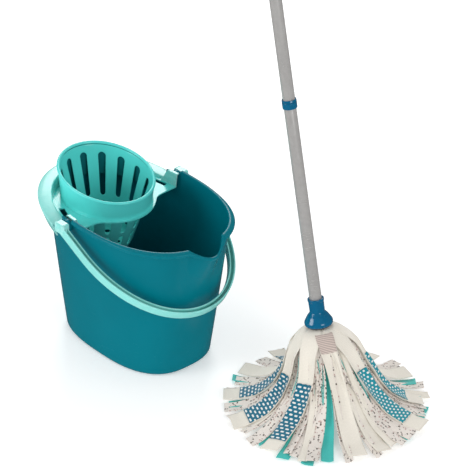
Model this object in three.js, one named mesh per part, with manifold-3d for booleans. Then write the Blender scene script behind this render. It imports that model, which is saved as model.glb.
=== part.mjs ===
// An oval mop bucket with a press-wringer insert and a swinging bail, and a strip mop with a
// screw-together handle that stands beside it. Millimetres, +Z up. The origin is the centre of the
// bucket's base on the floor, and +X runs along the bucket's long axis to its pouring spout.

import * as THREE from 'three';
import { mergeVertices } from 'three/addons/utils/BufferGeometryUtils.js';
import Module from 'manifold-3d';

const wasm = await Module();
wasm.setup();

// ---------------------------------------------------------------- driving dimensions

const GAP = 0.4;                    // clearance between pieces that touch

// bucket
const BUCKET_HEIGHT = 289;
const RIM_HALF_LENGTH = 189;
const RIM_HALF_WIDTH = 131;
const RIM_POWER = 2.29;             // superellipse power of the rim's oval
const BASE_HALF_LENGTH = 145;
const BASE_HALF_WIDTH = 99;
const BASE_POWER = 2.72;
const BUCKET_WALL = 2.6;
const BASE_THICKNESS = 3.2;
const BASE_FILLET = 9;
const LIP_SIDE = 4.6;               // how far the rolled lip stands out along the sides
const LIP_FRONT = 9;                // and round the spout end
const LIP_DEPTH = 8;
const SPOUT_HALF_WIDTH = 40;
const SPOUT_REACH = 23;
const SPOUT_DROP = 18;
const SPOUT_FADE = 120;             // height over which the spout's bulge runs into the wall
const STEP_X = -30;                 // where the front half of the rim ends
const LUG_REAR_X = -64;             // where the pivot shoulder of the rim ends
const SHOULDER_DROP = 9;            // how far the rim over the pivot lugs is below the front rim
const LIP_REAR = 1.2;               // the plain bead of the rear rim
const LIP_SPOUT = 3;                // the lip thins along the spout's edge

// wringer insert
const INSERT_WALL = 2.4;
const RING_OVERHANG = 20;           // how far the ring's band stands out from the bucket's wall
const RING_INSET = 6;               // how far inside the bucket's outer wall the ring's inner edge is
const RING_DROP = 26;               // top of the band's front ends, below the front rim
const RING_RISE = 18;               // how far the band climbs to the back
const SKIRT_DEPTH = 27;
const SKIRT_SLANT = 7;
const CHEEK_INSET = 5;              // how much further in the insert runs beside the lugs
const CHEEK_RISE = 5;               // how far its cheek stands above the shoulder
const CHEEK_CLIMB = 10;             // length over which its top climbs beside the lug
const SHELF_DROP = 29;              // top of the shelf, below the front rim
const SHELF_THICKNESS = 2.6;
const SHELF_FRONT_GAP = 4;          // shelf left standing ahead of the collar
const SHELF_CORNER = 12;            // how softly its front edge turns from the collar to the walls
const OPENING_FRONT = 22;           // the long drain openings start this far behind the step
const OPENING_LENGTH = 70;
const OPENING_WIDTH = 10;
const BASKET_BACK_GAP = 3.3;        // from the back of the bucket's rim to the basket's
const BASKET_RISE = 22.4;           // middle of the basket's rim, above the front rim
const BASKET_HALF_LENGTH = 96.4;
const BASKET_HALF_WIDTH = 83.9;
const BASKET_TILT = THREE.MathUtils.degToRad(8.6);
const BASKET_DEPTH = 148.4;
const BASKET_RAKE = 5.7;            // how far behind the rim's middle the foot's middle is
const BASKET_BOTTOM_RADIUS = 50;
const BASKET_WALL = 2.2;
const COLLAR_SLOPE = 5;             // how far the collar draws in between rim and shelf
const SLOT_COUNT = 14;
const SLOT_WIDTH_TOP = 15;
const SLOT_WIDTH_LOW = 10;
const SLOT_TOP_DROP = 21;           // from the basket's rim down to a slot's upper end
const SLOT_FOOT_DROP = 94;
const LOW_SLOT_TOP_DROP = 104;
const LOW_SLOT_FOOT_DROP = 138;
const LOW_SLOT_WIDTH = 9;
const DRAIN_RADIUS = 6;
const DRAIN_CIRCLE = 26;

// bail
const PIVOT_BACK = 14;              // from the step in the rim back to the pivot
const PIVOT_DROP = 18;              // from the front rim down to the pivot
const BAIL_DROP = THREE.MathUtils.degToRad(27);
const BAIL_STRAIGHT = 70;           // straight stretch of each arm
const BAIL_SIDE_GAP = 3.4;          // between an arm and the rim's lip
const BAIL_SPOUT_GAP = 2.6;         // between the loop and the spout as it swings past
const BAIL_POWER = 2.05;
const BAIL_HEIGHT = 17.5;
const BAIL_THICKNESS = 11;
const BAIL_WALL = 2.8;
const HUB_STAND = 4.2;              // from the side of the rim's oval to the hub's inner face
const HUB_LENGTH = 26;
const HUB_HEIGHT = 20;
const PEG_RADIUS = 5;
const LUG_WALL = 6.6;               // material round the peg's hole

// mop
const MOP_STANDOFF = 209.6;         // from the bucket's rim end to where the handle's axis meets the floor
const MOP_Y = 111.2;
const MOP_LEAN = THREE.MathUtils.degToRad(12.6);
const SPLAY_BACK = 4.6;             // the splay circle's middle, measured from the axis's foot
const SPLAY_SIDE = 5.2;
const TUBE_RADIUS = 11;
const TUBE_WALL = 0.8;
const TUBE_LENGTH = 394;
const TUBE_START = 190;             // along the axis, where the lowest tube begins
const COUPLER_WALL = 1.8;
const COUPLER_LENGTH = 18;
const PLUG_GRIP = 26;               // how far a plug sits inside its tube
const PLUG_SPIGOT = 16;             // length of its threaded end
const SPIGOT_WALL = 2.2;            // from the plug's body down to its thread
const SOCKET_TOP = 213;
const SOCKET_NECK_WALL = 2.5;
const SOCKET_BELL_RADIUS = 26;
const SOCKET_SHOULDER = 184;
const SOCKET_FOOT = 163;
const CORE_FLANGE_TOP = 162.5;
const CORE_FLANGE_THICKNESS = 2.5;
const CORE_FLANGE_RADIUS = 22;
const CORE_SPINDLE_RADIUS = 9;
const CLAMP_THICKNESS = 3;
const CLAMP_RADIUS = 21;
const GRIP_LENGTH = 62;
const GRIP_WALL = 1.6;
const EYE_RADIUS = 11;
const EYE_HOLE_RADIUS = 5.5;
const EYE_THICKNESS = 7;

// strips: three layers, outermost first
const STRIP_THICKNESS = 1.6;
const STRIP_LAYER_STEP = 5;
const SHOULDER_RADIUS = 64;         // how far out the strips hang just below the shoulder
const SHOULDER_FALL = 40;           // and how far below the clamp
const HELD_HEIGHT = 145;            // above this the strips follow the leaning head exactly
const SPLAY_RADIUS = 190;
const FLOOR_GAP = 0.2;              // lowest a strip may lie
const STRIP_LAYERS = [
  { name: 'outer_strip', count: 12, width: 38, turn: 0.14, depth: 0, colour: 0xece8da },
  { name: 'middle_strip', count: 12, width: 24, turn: 0.64, depth: 1, colour: 0xe4e2dc },
  { name: 'inner_strip', count: 8, width: 24, turn: 0.5, depth: 2, colour: 0x35b8ab },
];

// ---------------------------------------------------------------- places worked out from them

const SHOULDER_HEIGHT = BUCKET_HEIGHT - SHOULDER_DROP;
const RING_LOW = BUCKET_HEIGHT - RING_DROP;
const SHELF_TOP = BUCKET_HEIGHT - SHELF_DROP;
const SHELF_FOOT = SHELF_TOP - SHELF_THICKNESS;
const PEG_END_Y = wallPoint(Math.PI / 2, BUCKET_HEIGHT - PIVOT_DROP).y - BUCKET_WALL;
const BASKET_X = BASKET_HALF_LENGTH + BASKET_BACK_GAP - RIM_HALF_LENGTH;
const BASKET_RIM_Z = BUCKET_HEIGHT + BASKET_RISE;
const BASKET_FOOT_X = BASKET_X - BASKET_RAKE;
const COLLAR_FOOT_X = BASKET_X + 1;
const PIVOT_X = STEP_X - PIVOT_BACK;
const PIVOT_Z = BUCKET_HEIGHT - PIVOT_DROP;
const HUB_INNER_Y = RIM_HALF_WIDTH + HUB_STAND;
const BAIL_HALF_WIDTH = RIM_HALF_WIDTH + LIP_SIDE + BAIL_SIDE_GAP + BAIL_THICKNESS / 2;
const HUB_OUTER_Y = BAIL_HALF_WIDTH + BAIL_THICKNESS / 2;
const SPOUT_TIP_X = RIM_HALF_LENGTH + SPOUT_REACH + LIP_SPOUT;
const BAIL_REACH = SPOUT_TIP_X + BAIL_SPOUT_GAP + BAIL_THICKNESS / 2 - PIVOT_X;
const MOP_X = RIM_HALF_LENGTH + MOP_STANDOFF;
const SPLAY_X = MOP_X - SPLAY_BACK;
const SPLAY_Y = MOP_Y - SPLAY_SIDE;
const PLUG_RADIUS = TUBE_RADIUS - TUBE_WALL - GAP;
const SPIGOT_RADIUS = PLUG_RADIUS - SPIGOT_WALL;
const SOCKET_BORE = TUBE_RADIUS + GAP;
const SOCKET_NECK_RADIUS = SOCKET_BORE + SOCKET_NECK_WALL;
const COUPLER_RADIUS = SOCKET_BORE + COUPLER_WALL;
const GRIP_RADIUS = SOCKET_BORE + GRIP_WALL;
const CORE_FLANGE_FOOT = CORE_FLANGE_TOP - CORE_FLANGE_THICKNESS;
const STRIP_START = CORE_FLANGE_FOOT - GAP - STRIP_THICKNESS;
const DEEPEST_LAYER = STRIP_LAYERS.length - 1;
const CLAMP_TOP = STRIP_START - STRIP_LAYER_STEP * DEEPEST_LAYER - STRIP_THICKNESS - GAP;

// ---------------------------------------------------------------- finishes

const teal = { color: 0x00737f, roughness: 0.35, metalness: 0 };
const mint = { color: 0x58c3bc, roughness: 0.35, metalness: 0 };
const socketBlue = { color: 0x005f8c, roughness: 0.3, metalness: 0 };
const tubeGrey = { color: 0xa9a7a6, roughness: 0.4, metalness: 0.3 };
const darkPlastic = { color: 0x2f3a40, roughness: 0.6, metalness: 0 };
const steel = { color: 0xb8bcc0, roughness: 0.3, metalness: 1 };

// ---------------------------------------------------------------- shape helpers

function ovalPoint(halfLength, halfWidth, power, turn) {
  const along = Math.cos(turn);
  const across = Math.sin(turn);
  const x = halfLength * Math.sign(along) * Math.abs(along) ** (2 / power);
  const y = halfWidth * Math.sign(across) * Math.abs(across) ** (2 / power);
  return new THREE.Vector2(x, y);
}

// A closed surface through rings of equal point count. The ends of the stack are closed by fans
// for bulging rings ('fan') or by a flat outline's triangles for a channel ('flat'), and a 'loop'
// joins its last ring to its first.
function loft(rings, ends = 'fan') {
  const size = rings[0].length;
  const points = rings.flat();
  const faces = [];
  const last = ends === 'loop' ? rings.length : rings.length - 1;
  for (let row = 0; row < last; row += 1) {
    const here = row * size;
    const next = ((row + 1) % rings.length) * size;
    for (let column = 0; column < size; column += 1) {
      const side = (column + 1) % size;
      faces.push(here + column, here + side, next + side);
      faces.push(here + column, next + side, next + column);
    }
  }
  const top = (rings.length - 1) * size;
  if (ends === 'fan') {
    fanEnd(points, faces, 0, size, true);
    fanEnd(points, faces, top, size, false);
  }
  if (ends === 'flat') {
    faces.push(...flatEnd(rings[0], 0, true));
    faces.push(...flatEnd(rings[rings.length - 1], top, false));
  }
  const geometry = new THREE.BufferGeometry();
  const positions = new Float32Array(points.flatMap((point) => [point.x, point.y, point.z]));
  geometry.setAttribute('position', new THREE.BufferAttribute(positions, 3));
  geometry.setIndex(faces);
  return facingOut(geometry);
}

function fanEnd(points, faces, first, size, backwards) {
  const middle = new THREE.Vector3();
  for (let column = 0; column < size; column += 1) {
    middle.add(points[first + column]);
  }
  points.push(middle.divideScalar(size));
  const centre = points.length - 1;
  for (let column = 0; column < size; column += 1) {
    const a = first + column;
    const b = first + ((column + 1) % size);
    faces.push(...(backwards ? [centre, b, a] : [centre, a, b]));
  }
}

// A channel's end, as triangles of its ring's own points.
function flatEnd(ring, first, backwards) {
  const normal = new THREE.Vector3();
  const origin = ring[0];
  ring.forEach((point, at) => {
    const next = ring[(at + 1) % ring.length];
    normal.add(point.clone().sub(origin).cross(next.clone().sub(origin)));
  });
  const right = new THREE.Vector3().crossVectors(normal, leastAxis(normal)).normalize();
  const up = new THREE.Vector3().crossVectors(normal, right).normalize();
  const flat = ring.map((point) => new THREE.Vector2(point.dot(right), point.dot(up)));
  const faces = [];
  for (const corners of THREE.ShapeUtils.triangulateShape(flat, [])) {
    const [a, b, c] = corners.map((corner) => first + corner);
    faces.push(...(endsTurned(flat, corners) === backwards ? [a, b, c] : [a, c, b]));
  }
  return faces;
}

// True where a triangle runs round against the order of the ring's points.
function endsTurned(flat, corners) {
  const [a, b, c] = corners.map((corner) => flat[corner]);
  const turn = (b.x - a.x) * (c.y - a.y) - (b.y - a.y) * (c.x - a.x);
  return turn > 0 !== THREE.ShapeUtils.area(flat) > 0;
}

function leastAxis(direction) {
  const size = [Math.abs(direction.x), Math.abs(direction.y), Math.abs(direction.z)];
  const axes = [new THREE.Vector3(1, 0, 0), new THREE.Vector3(0, 1, 0), new THREE.Vector3(0, 0, 1)];
  return axes[size.indexOf(Math.min(...size))];
}

function facingOut(geometry) {
  const place = geometry.getAttribute('position');
  const index = geometry.getIndex();
  const corners = [new THREE.Vector3(), new THREE.Vector3(), new THREE.Vector3()];
  let volume = 0;
  for (let face = 0; face < index.count; face += 3) {
    corners.forEach((corner, at) => corner.fromBufferAttribute(place, index.getX(face + at)));
    volume += corners[0].dot(corners[1].clone().cross(corners[2]));
  }
  if (volume < 0) {
    for (let face = 0; face < index.count; face += 3) {
      const swap = index.getX(face + 1);
      index.setX(face + 1, index.getX(face + 2));
      index.setX(face + 2, swap);
    }
  }
  return geometry;
}

function solidOf(geometry) {
  const bare = geometry.clone();
  bare.deleteAttribute('normal');
  bare.deleteAttribute('uv');
  const merged = mergeVertices(bare, 1e-4);
  const mesh = new wasm.Mesh({
    numProp: 3,
    vertProperties: new Float32Array(merged.getAttribute('position').array),
    triVerts: new Uint32Array(merged.getIndex().array),
  });
  return new wasm.Manifold(mesh);
}

function geometryOf(solid) {
  const mesh = solid.getMesh();
  const geometry = new THREE.BufferGeometry();
  geometry.setAttribute('position', new THREE.BufferAttribute(new Float32Array(mesh.vertProperties), 3));
  geometry.setIndex(new THREE.BufferAttribute(new Uint32Array(mesh.triVerts), 1));
  return geometry;
}

function piece(name, geometry, finish) {
  const mesh = new THREE.Mesh(geometry, new THREE.MeshStandardMaterial(finish));
  mesh.name = name;
  return mesh;
}

// A turned solid about Z from (radius, height) pairs that start and end on the axis, or that
// close on themselves when the piece has a bore.
function turned(profile, segments = 20) {
  const points = profile.map(([radius, height]) => new THREE.Vector2(radius, height));
  const lathe = new THREE.LatheGeometry(points, segments);
  return facingOut(mergedLathe(lathe.rotateX(Math.PI / 2)));
}

function mergedLathe(lathe) {
  lathe.deleteAttribute('normal');
  lathe.deleteAttribute('uv');
  const merged = mergeVertices(lathe, 1e-4);
  const kept = [];
  const index = merged.getIndex().array;
  for (let face = 0; face < index.length; face += 3) {
    const [a, b, c] = [index[face], index[face + 1], index[face + 2]];
    if (a !== b && b !== c && c !== a) {
      kept.push(a, b, c);
    }
  }
  merged.setIndex(kept);
  return merged;
}

// A round bar along Y between two places.
function crossBar(radius, x, fromY, toY, z, segments = 20) {
  const bar = new THREE.CylinderGeometry(radius, radius, Math.abs(toY - fromY), segments);
  return bar.translate(x, (fromY + toY) / 2, z);
}

function roundedRectangle(width, height, corner) {
  const shape = new THREE.Shape();
  const w = width / 2;
  const h = height / 2;
  shape.moveTo(-w + corner, -h);
  shape.lineTo(w - corner, -h);
  shape.absarc(w - corner, -h + corner, corner, -Math.PI / 2, 0);
  shape.lineTo(w, h - corner);
  shape.absarc(w - corner, h - corner, corner, 0, Math.PI / 2);
  shape.lineTo(-w + corner, h);
  shape.absarc(-w + corner, h - corner, corner, Math.PI / 2, Math.PI);
  shape.lineTo(-w, -h + corner);
  shape.absarc(-w + corner, -h + corner, corner, Math.PI, Math.PI * 1.5);
  return shape;
}

// ---------------------------------------------------------------- bucket

// The bucket's outer outline at one height, drawn in by an inset.
function wallPoint(turn, z, inset = 0) {
  const share = z / BUCKET_HEIGHT;
  const halfLength = THREE.MathUtils.lerp(BASE_HALF_LENGTH, RIM_HALF_LENGTH, share) - inset;
  const halfWidth = THREE.MathUtils.lerp(BASE_HALF_WIDTH, RIM_HALF_WIDTH, share) - inset;
  const power = THREE.MathUtils.lerp(BASE_POWER, RIM_POWER, share);
  const point = ovalPoint(halfLength, halfWidth, power, turn);
  const fade = THREE.MathUtils.smoothstep(z, BUCKET_HEIGHT - SPOUT_FADE, BUCKET_HEIGHT);
  point.x += SPOUT_REACH * spoutShare(turn) * fade;
  return point;
}

// 1 in the middle of the spout, falling to 0 at its two corners.
function spoutShare(turn) {
  const rim = ovalPoint(RIM_HALF_LENGTH, RIM_HALF_WIDTH, RIM_POWER, turn);
  if (rim.x < 0 || Math.abs(rim.y) >= SPOUT_HALF_WIDTH) {
    return 0;
  }
  return Math.cos((Math.PI * rim.y) / (2 * SPOUT_HALF_WIDTH)) ** 0.9;
}

function turnAtRimX(x) {
  const share = (Math.abs(x) / RIM_HALF_LENGTH) ** (RIM_POWER / 2);
  return x < 0 ? Math.PI - Math.acos(share) : Math.acos(share);
}

// The ring's band climbs evenly from its front ends to the back of the bucket.
function bandHeight(x) {
  return RING_LOW + (RING_RISE * (LUG_REAR_X - x)) / (LUG_REAR_X + RIM_HALF_LENGTH);
}

function rimHeight(turn, zone) {
  if (zone === 'front') {
    return BUCKET_HEIGHT - SPOUT_DROP * spoutShare(turn);
  }
  if (zone === 'shoulder') {
    return SHOULDER_HEIGHT;
  }
  const rim = ovalPoint(RIM_HALF_LENGTH, RIM_HALF_WIDTH, RIM_POWER, turn);
  return bandHeight(rim.x) - INSERT_WALL - GAP;
}

function spread(from, to, steps) {
  return Array.from({ length: steps + 1 }, (_, at) => THREE.MathUtils.lerp(from, to, at / steps));
}

// Once round the rim, as turns with the stretch of rim that each belongs to.
function rimColumns() {
  const step = turnAtRimX(STEP_X);
  const lug = turnAtRimX(LUG_REAR_X);
  const jump = 0.006;
  const full = Math.PI * 2;
  const stretches = [
    ['front', -step, step, 44],
    ['shoulder', step + jump, lug, 2],
    ['rear', lug + jump, full - lug - jump, 24],
    ['shoulder', full - lug, full - step - jump, 2],
  ];
  return stretches.flatMap(([zone, from, to, steps]) => {
    return spread(from, to, steps).map((turn) => ({ zone, turn }));
  });
}

function lipReach(column) {
  if (column.zone !== 'front') {
    return LIP_REAR;
  }
  const front = THREE.MathUtils.smoothstep(Math.cos(column.turn), 0.2, 0.8);
  const broad = THREE.MathUtils.lerp(LIP_SIDE, LIP_FRONT, front);
  return THREE.MathUtils.lerp(broad, LIP_SPOUT, Math.min(spoutShare(column.turn) * 2, 1));
}

// One place on the shell: an offset outward from the outer wall at a height below the rim.
function shellPoint(column, offset, z) {
  const point = wallPoint(column.turn, z, -offset);
  return new THREE.Vector3(point.x, point.y, z);
}

function bucketShell() {
  const columns = rimColumns();
  const rings = [];
  const ringAt = (offset, height) => {
    rings.push(columns.map((column) => {
      const rim = rimHeight(column.turn, column.zone);
      const reach = lipReach(column);
      return shellPoint(column, offset(reach), height(rim));
    }));
  };
  const lowest = BASE_FILLET;
  const wallHeight = (share) => (rim) => THREE.MathUtils.lerp(lowest, rim - LIP_DEPTH - 1, share);
  const innerHeight = (share) => (rim) => THREE.MathUtils.lerp(BASE_FILLET + BASE_THICKNESS, rim - 1, share);
  ringAt(() => -BASE_FILLET, () => 0);
  ringAt(() => -BASE_FILLET * 0.3, () => BASE_FILLET * 0.3);
  for (const share of [0, 0.45, 0.72, 0.88, 1]) {
    ringAt(() => 0, wallHeight(share));
  }
  ringAt(() => 0, (rim) => rim - 3);
  ringAt((reach) => reach - 1, (rim) => rim - 3);
  ringAt((reach) => reach - 0.6, (rim) => rim - LIP_DEPTH);
  ringAt((reach) => reach + 0.6, (rim) => rim - LIP_DEPTH);
  ringAt((reach) => reach, (rim) => rim - 1);
  ringAt((reach) => reach - 1, (rim) => rim);
  ringAt(() => -BUCKET_WALL + 0.8, (rim) => rim);
  ringAt(() => -BUCKET_WALL, (rim) => rim - 1);
  for (const share of [0.85, 0.6, 0]) {
    ringAt(() => -BUCKET_WALL, innerHeight(share));
  }
  ringAt(() => -BUCKET_WALL - BASE_FILLET, () => BASE_THICKNESS);
  let shell = solidOf(loft(rings));
  for (const side of [-1, 1]) {
    shell = shell.add(pivotLug(side));
    const hole = crossBar(PEG_RADIUS + GAP, PIVOT_X, side * (PEG_END_Y - 20), side * HUB_OUTER_Y, PIVOT_Z);
    shell = shell.subtract(solidOf(hole));
  }
  return piece('bucket_shell', geometryOf(shell), teal);
}

// A round boss outside the shoulder of the rim, where the bail's peg goes through.
function pivotLug(side) {
  const outerY = HUB_INNER_Y - GAP;
  const radius = PEG_RADIUS + GAP + LUG_WALL;
  return solidOf(crossBar(radius, PIVOT_X, side * (PEG_END_Y + GAP), side * outerY, PIVOT_Z - 2, 24));
}

// ---------------------------------------------------------------- wringer insert

// Sweeps one closed section round a stretch of the bucket's wall. The section is a list of
// (offset, height) pairs, and an offset is taken from the wall's outer face at that height.
function sweepWall(turns, section) {
  const rings = turns.map((turn) => {
    const rimX = wallPoint(turn, BUCKET_HEIGHT).x;
    return section(rimX).map(([offset, z]) => {
      const point = wallPoint(turn, z, -offset);
      return new THREE.Vector3(point.x, point.y, z);
    });
  });
  return solidOf(loft(rings, 'flat'));
}

// The broad band hooks over the rear wall: inner wall, flat top and slanted outer skirt.
function ringChannel() {
  const lug = turnAtRimX(LUG_REAR_X - 3);
  const turns = spread(lug, Math.PI * 2 - lug, 26);
  return sweepWall(turns, (x) => {
    const top = bandHeight(x);
    const inner = -RING_INSET;
    const outer = RING_OVERHANG;
    const foot = top - SKIRT_DEPTH;
    return [
      [inner, SHELF_FOOT],
      [inner, top - 1.6],
      [inner + 1.6, top],
      [outer - 2.4, top],
      [outer, top - 2.4],
      [outer - SKIRT_SLANT, foot],
      [outer - SKIRT_SLANT - INSERT_WALL, foot],
      [outer - INSERT_WALL - 0.6, top - INSERT_WALL - 1],
      [inner + INSERT_WALL, top - INSERT_WALL],
      [inner + INSERT_WALL, SHELF_FOOT],
    ];
  });
}

// Beside the pivot lugs the insert has only its inner wall, with a narrow flat top.
function ringCheek(side) {
  const step = turnAtRimX(STEP_X - 1);
  const lug = turnAtRimX(LUG_REAR_X - 6);
  const turns = spread(step, lug, 8).map((turn) => side * turn);
  const inner = -RING_INSET - CHEEK_INSET;
  const outer = -BUCKET_WALL - GAP * 4;
  return sweepWall(turns, (x) => {
    const rise = THREE.MathUtils.smoothstep(x, LUG_REAR_X - 6, LUG_REAR_X + CHEEK_CLIMB);
    const top = THREE.MathUtils.lerp(RING_LOW, SHOULDER_HEIGHT + CHEEK_RISE, rise);
    return [
      [inner, SHELF_FOOT],
      [inner, top - 1],
      [inner + 1, top],
      [outer, top],
      [outer, top - INSERT_WALL],
      [inner + INSERT_WALL, top - INSERT_WALL],
      [inner + INSERT_WALL, SHELF_FOOT],
    ];
  });
}

// The shelf's front edge follows the collar, and runs straight across beside it.
function shelfFrontX(y) {
  const halfLength = BASKET_HALF_LENGTH - COLLAR_SLOPE + SHELF_FRONT_GAP;
  const halfWidth = BASKET_HALF_WIDTH - COLLAR_SLOPE + SHELF_FRONT_GAP;
  const share = Math.min(Math.abs(y) / halfWidth, 1);
  const round = COLLAR_FOOT_X + halfLength * Math.sqrt(1 - share ** 2);
  return (round + STEP_X + Math.hypot(round - STEP_X, SHELF_CORNER)) / 2;
}

// The flat shelf between the ring and the collar, with its long drain openings.
function shelfPlate() {
  const step = turnAtRimX(STEP_X - 1);
  const outline = spread(step, Math.PI * 2 - step, 32).map((turn) => {
    return wallPoint(turn, SHELF_TOP, RING_INSET - INSERT_WALL / 2 + cheekInset(turn));
  });
  const nearEnd = outline[outline.length - 1];
  for (const y of spread(nearEnd.y, -nearEnd.y, 28).slice(1, -1)) {
    outline.push(new THREE.Vector2(shelfFrontX(y), y));
  }
  const shape = new THREE.Shape(outline);
  const plate = new THREE.ExtrudeGeometry(shape, { depth: SHELF_THICKNESS, bevelEnabled: false });
  return solidOf(plate.translate(0, 0, SHELF_FOOT));
}

// The insert draws in beside the lugs, by the width that its cheek stands off the wall.
function cheekInset(turn) {
  const rim = ovalPoint(RIM_HALF_LENGTH, RIM_HALF_WIDTH, RIM_POWER, turn);
  return (CHEEK_INSET + 0.5) * THREE.MathUtils.smoothstep(rim.x, LUG_REAR_X - 8, LUG_REAR_X + 2);
}

// A ring of the basket at a drop below its rim plane. The rim is a tilted oval and the foot a
// level circle, and every ring between them is a blend of the two.
function basketRing(drop, inset, columns) {
  const share = drop / BASKET_DEPTH;
  const halfLength = THREE.MathUtils.lerp(BASKET_HALF_LENGTH, BASKET_BOTTOM_RADIUS, share) - inset;
  const halfWidth = THREE.MathUtils.lerp(BASKET_HALF_WIDTH, BASKET_BOTTOM_RADIUS, share) - inset;
  const tilt = BASKET_TILT * (1 - share);
  const middleX = THREE.MathUtils.lerp(BASKET_X, BASKET_FOOT_X, share);
  return columns.map((turn) => {
    const flat = ovalPoint(halfLength, halfWidth, 2, turn);
    const x = middleX + flat.x * Math.cos(tilt);
    return new THREE.Vector3(x, flat.y, BASKET_RIM_Z - drop - flat.x * Math.sin(tilt));
  });
}

function basketColumns() {
  return spread(0, Math.PI * 2, SLOT_COUNT * 3).slice(0, -1);
}

function basketCone() {
  const columns = basketColumns();
  const depth = BASKET_DEPTH;
  const rings = [
    basketRing(depth, 6, columns),
    basketRing(depth - 4, 0, columns),
    basketRing(depth * 0.5, 0, columns),
    basketRing(4, -0.6, columns),
    basketRing(0.6, -0.2, columns),
    basketRing(0, BASKET_WALL * 0.6, columns),
    basketRing(0.6, BASKET_WALL + 0.6, columns),
    basketRing(depth * 0.5, BASKET_WALL, columns),
    basketRing(depth - 4 - BASKET_WALL, BASKET_WALL, columns),
    basketRing(depth - BASKET_WALL, BASKET_WALL + 5, columns),
  ];
  return solidOf(loft(rings));
}

// The collar hangs from the basket's rim and stands on the shelf.
function basketCollar() {
  const columns = basketColumns();
  const rim = (inset, drop) => basketRing(0, inset, columns).map((point) => point.setZ(point.z - drop));
  const foot = (inset) => columns.map((turn) => {
    const x = BASKET_HALF_LENGTH - COLLAR_SLOPE - inset;
    const flat = ovalPoint(x, BASKET_HALF_WIDTH - COLLAR_SLOPE - inset, 2, turn);
    return new THREE.Vector3(COLLAR_FOOT_X + flat.x, flat.y, SHELF_FOOT);
  });
  const rings = [rim(-1.4, 1.4), rim(-1.4, 5), foot(0), foot(BASKET_WALL), rim(0.6, 5), rim(0.6, 1.4)];
  return solidOf(loft(rings, 'loop'));
}

// Everything inside the collar's foot, which the shelf leaves open.
function collarOpening() {
  const columns = basketColumns();
  const ringAt = (z) => columns.map((turn) => {
    const inset = COLLAR_SLOPE + BASKET_WALL / 2;
    const flat = ovalPoint(BASKET_HALF_LENGTH - inset, BASKET_HALF_WIDTH - inset, 2, turn);
    return new THREE.Vector3(COLLAR_FOOT_X + flat.x, flat.y, z);
  });
  return solidOf(loft([ringAt(SHELF_FOOT - 1), ringAt(SHELF_TOP + 1)]));
}

// A long drain opening in the shelf, between the ring's wall and the collar.
function shelfOpening(side) {
  const front = STEP_X - OPENING_FRONT;
  const turns = spread(turnAtRimX(front), turnAtRimX(front - OPENING_LENGTH), 6).map((turn) => side * turn);
  const edge = (inset) => turns.map((turn) => wallPoint(turn, SHELF_TOP, inset));
  const nearWall = RING_INSET + 7;
  const outline = [...edge(nearWall), ...edge(nearWall + OPENING_WIDTH).reverse()];
  const cutter = new THREE.ExtrudeGeometry(new THREE.Shape(outline), { depth: 12, bevelEnabled: false });
  return solidOf(cutter.translate(0, 0, SHELF_TOP - 6));
}

// A tapered stadium, standing upright in the X = 0 plane of its own frame.
function slotShape(topWidth, footWidth, length) {
  const shape = new THREE.Shape();
  const high = length / 2 - topWidth / 2;
  const low = -length / 2 + footWidth / 2;
  shape.absarc(0, high, topWidth / 2, 0, Math.PI);
  shape.absarc(0, low, footWidth / 2, Math.PI, Math.PI * 2);
  return shape;
}

// Cuts one slot through the sieve wall, square to the wall, at a turn round the basket. The drops
// are measured down from the middle of the basket's rim.
function slotCutter(turn, topDrop, footDrop, topWidth, footWidth, reach) {
  const middleDrop = (topDrop + footDrop) / 2;
  const middle = basketRing(middleDrop, 0, [turn])[0];
  const slope = Math.atan2(BASKET_HALF_WIDTH - BASKET_BOTTOM_RADIUS, BASKET_DEPTH);
  const shape = slotShape(topWidth, footWidth, (footDrop - topDrop) / Math.cos(slope));
  const options = { depth: reach * 2, bevelEnabled: false, curveSegments: 2 };
  const cutter = new THREE.ExtrudeGeometry(shape, options);
  cutter.translate(0, 0, -reach);
  cutter.rotateX(Math.PI / 2);
  cutter.rotateZ(Math.PI / 2);
  cutter.rotateY(slope);
  cutter.rotateZ(turn);
  cutter.translate(middle.x - Math.cos(turn), middle.y - Math.sin(turn), BASKET_RIM_Z - middleDrop);
  return solidOf(cutter);
}

function drainHoles() {
  const holes = [0, 1, 2, 3, 4, 5].map((at) => ovalPoint(DRAIN_CIRCLE, DRAIN_CIRCLE, 2, (at * Math.PI) / 3));
  holes.push(new THREE.Vector2(0, 0));
  return holes.map((hole) => {
    const bar = new THREE.CylinderGeometry(DRAIN_RADIUS, DRAIN_RADIUS, 30, 10).rotateX(Math.PI / 2);
    return solidOf(bar.translate(BASKET_FOOT_X + hole.x, hole.y, BASKET_RIM_Z - BASKET_DEPTH));
  });
}

function wringerInsert() {
  let sieve = basketCone();
  for (let at = 0; at < SLOT_COUNT; at += 1) {
    const turn = ((at + 0.5) * Math.PI * 2) / SLOT_COUNT;
    const rimDrop = BASKET_RIM_Z - basketRing(0, 0, [turn])[0].z;
    const topDrop = rimDrop + SLOT_TOP_DROP;
    sieve = sieve.subtract(slotCutter(turn, topDrop, SLOT_FOOT_DROP, SLOT_WIDTH_TOP, SLOT_WIDTH_LOW, 5));
    sieve = sieve.subtract(
      slotCutter(turn, LOW_SLOT_TOP_DROP, LOW_SLOT_FOOT_DROP, LOW_SLOT_WIDTH, LOW_SLOT_WIDTH, 7),
    );
  }
  for (const hole of drainHoles()) {
    sieve = sieve.subtract(hole);
  }
  let shelf = shelfPlate().subtract(collarOpening());
  for (const side of [-1, 1]) {
    shelf = shelf.subtract(shelfOpening(side)).add(ringCheek(side));
  }
  const insert = shelf.add(ringChannel()).add(basketCollar()).add(sieve);
  return piece('wringer_insert', geometryOf(insert), mint);
}

// ---------------------------------------------------------------- bail

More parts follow.
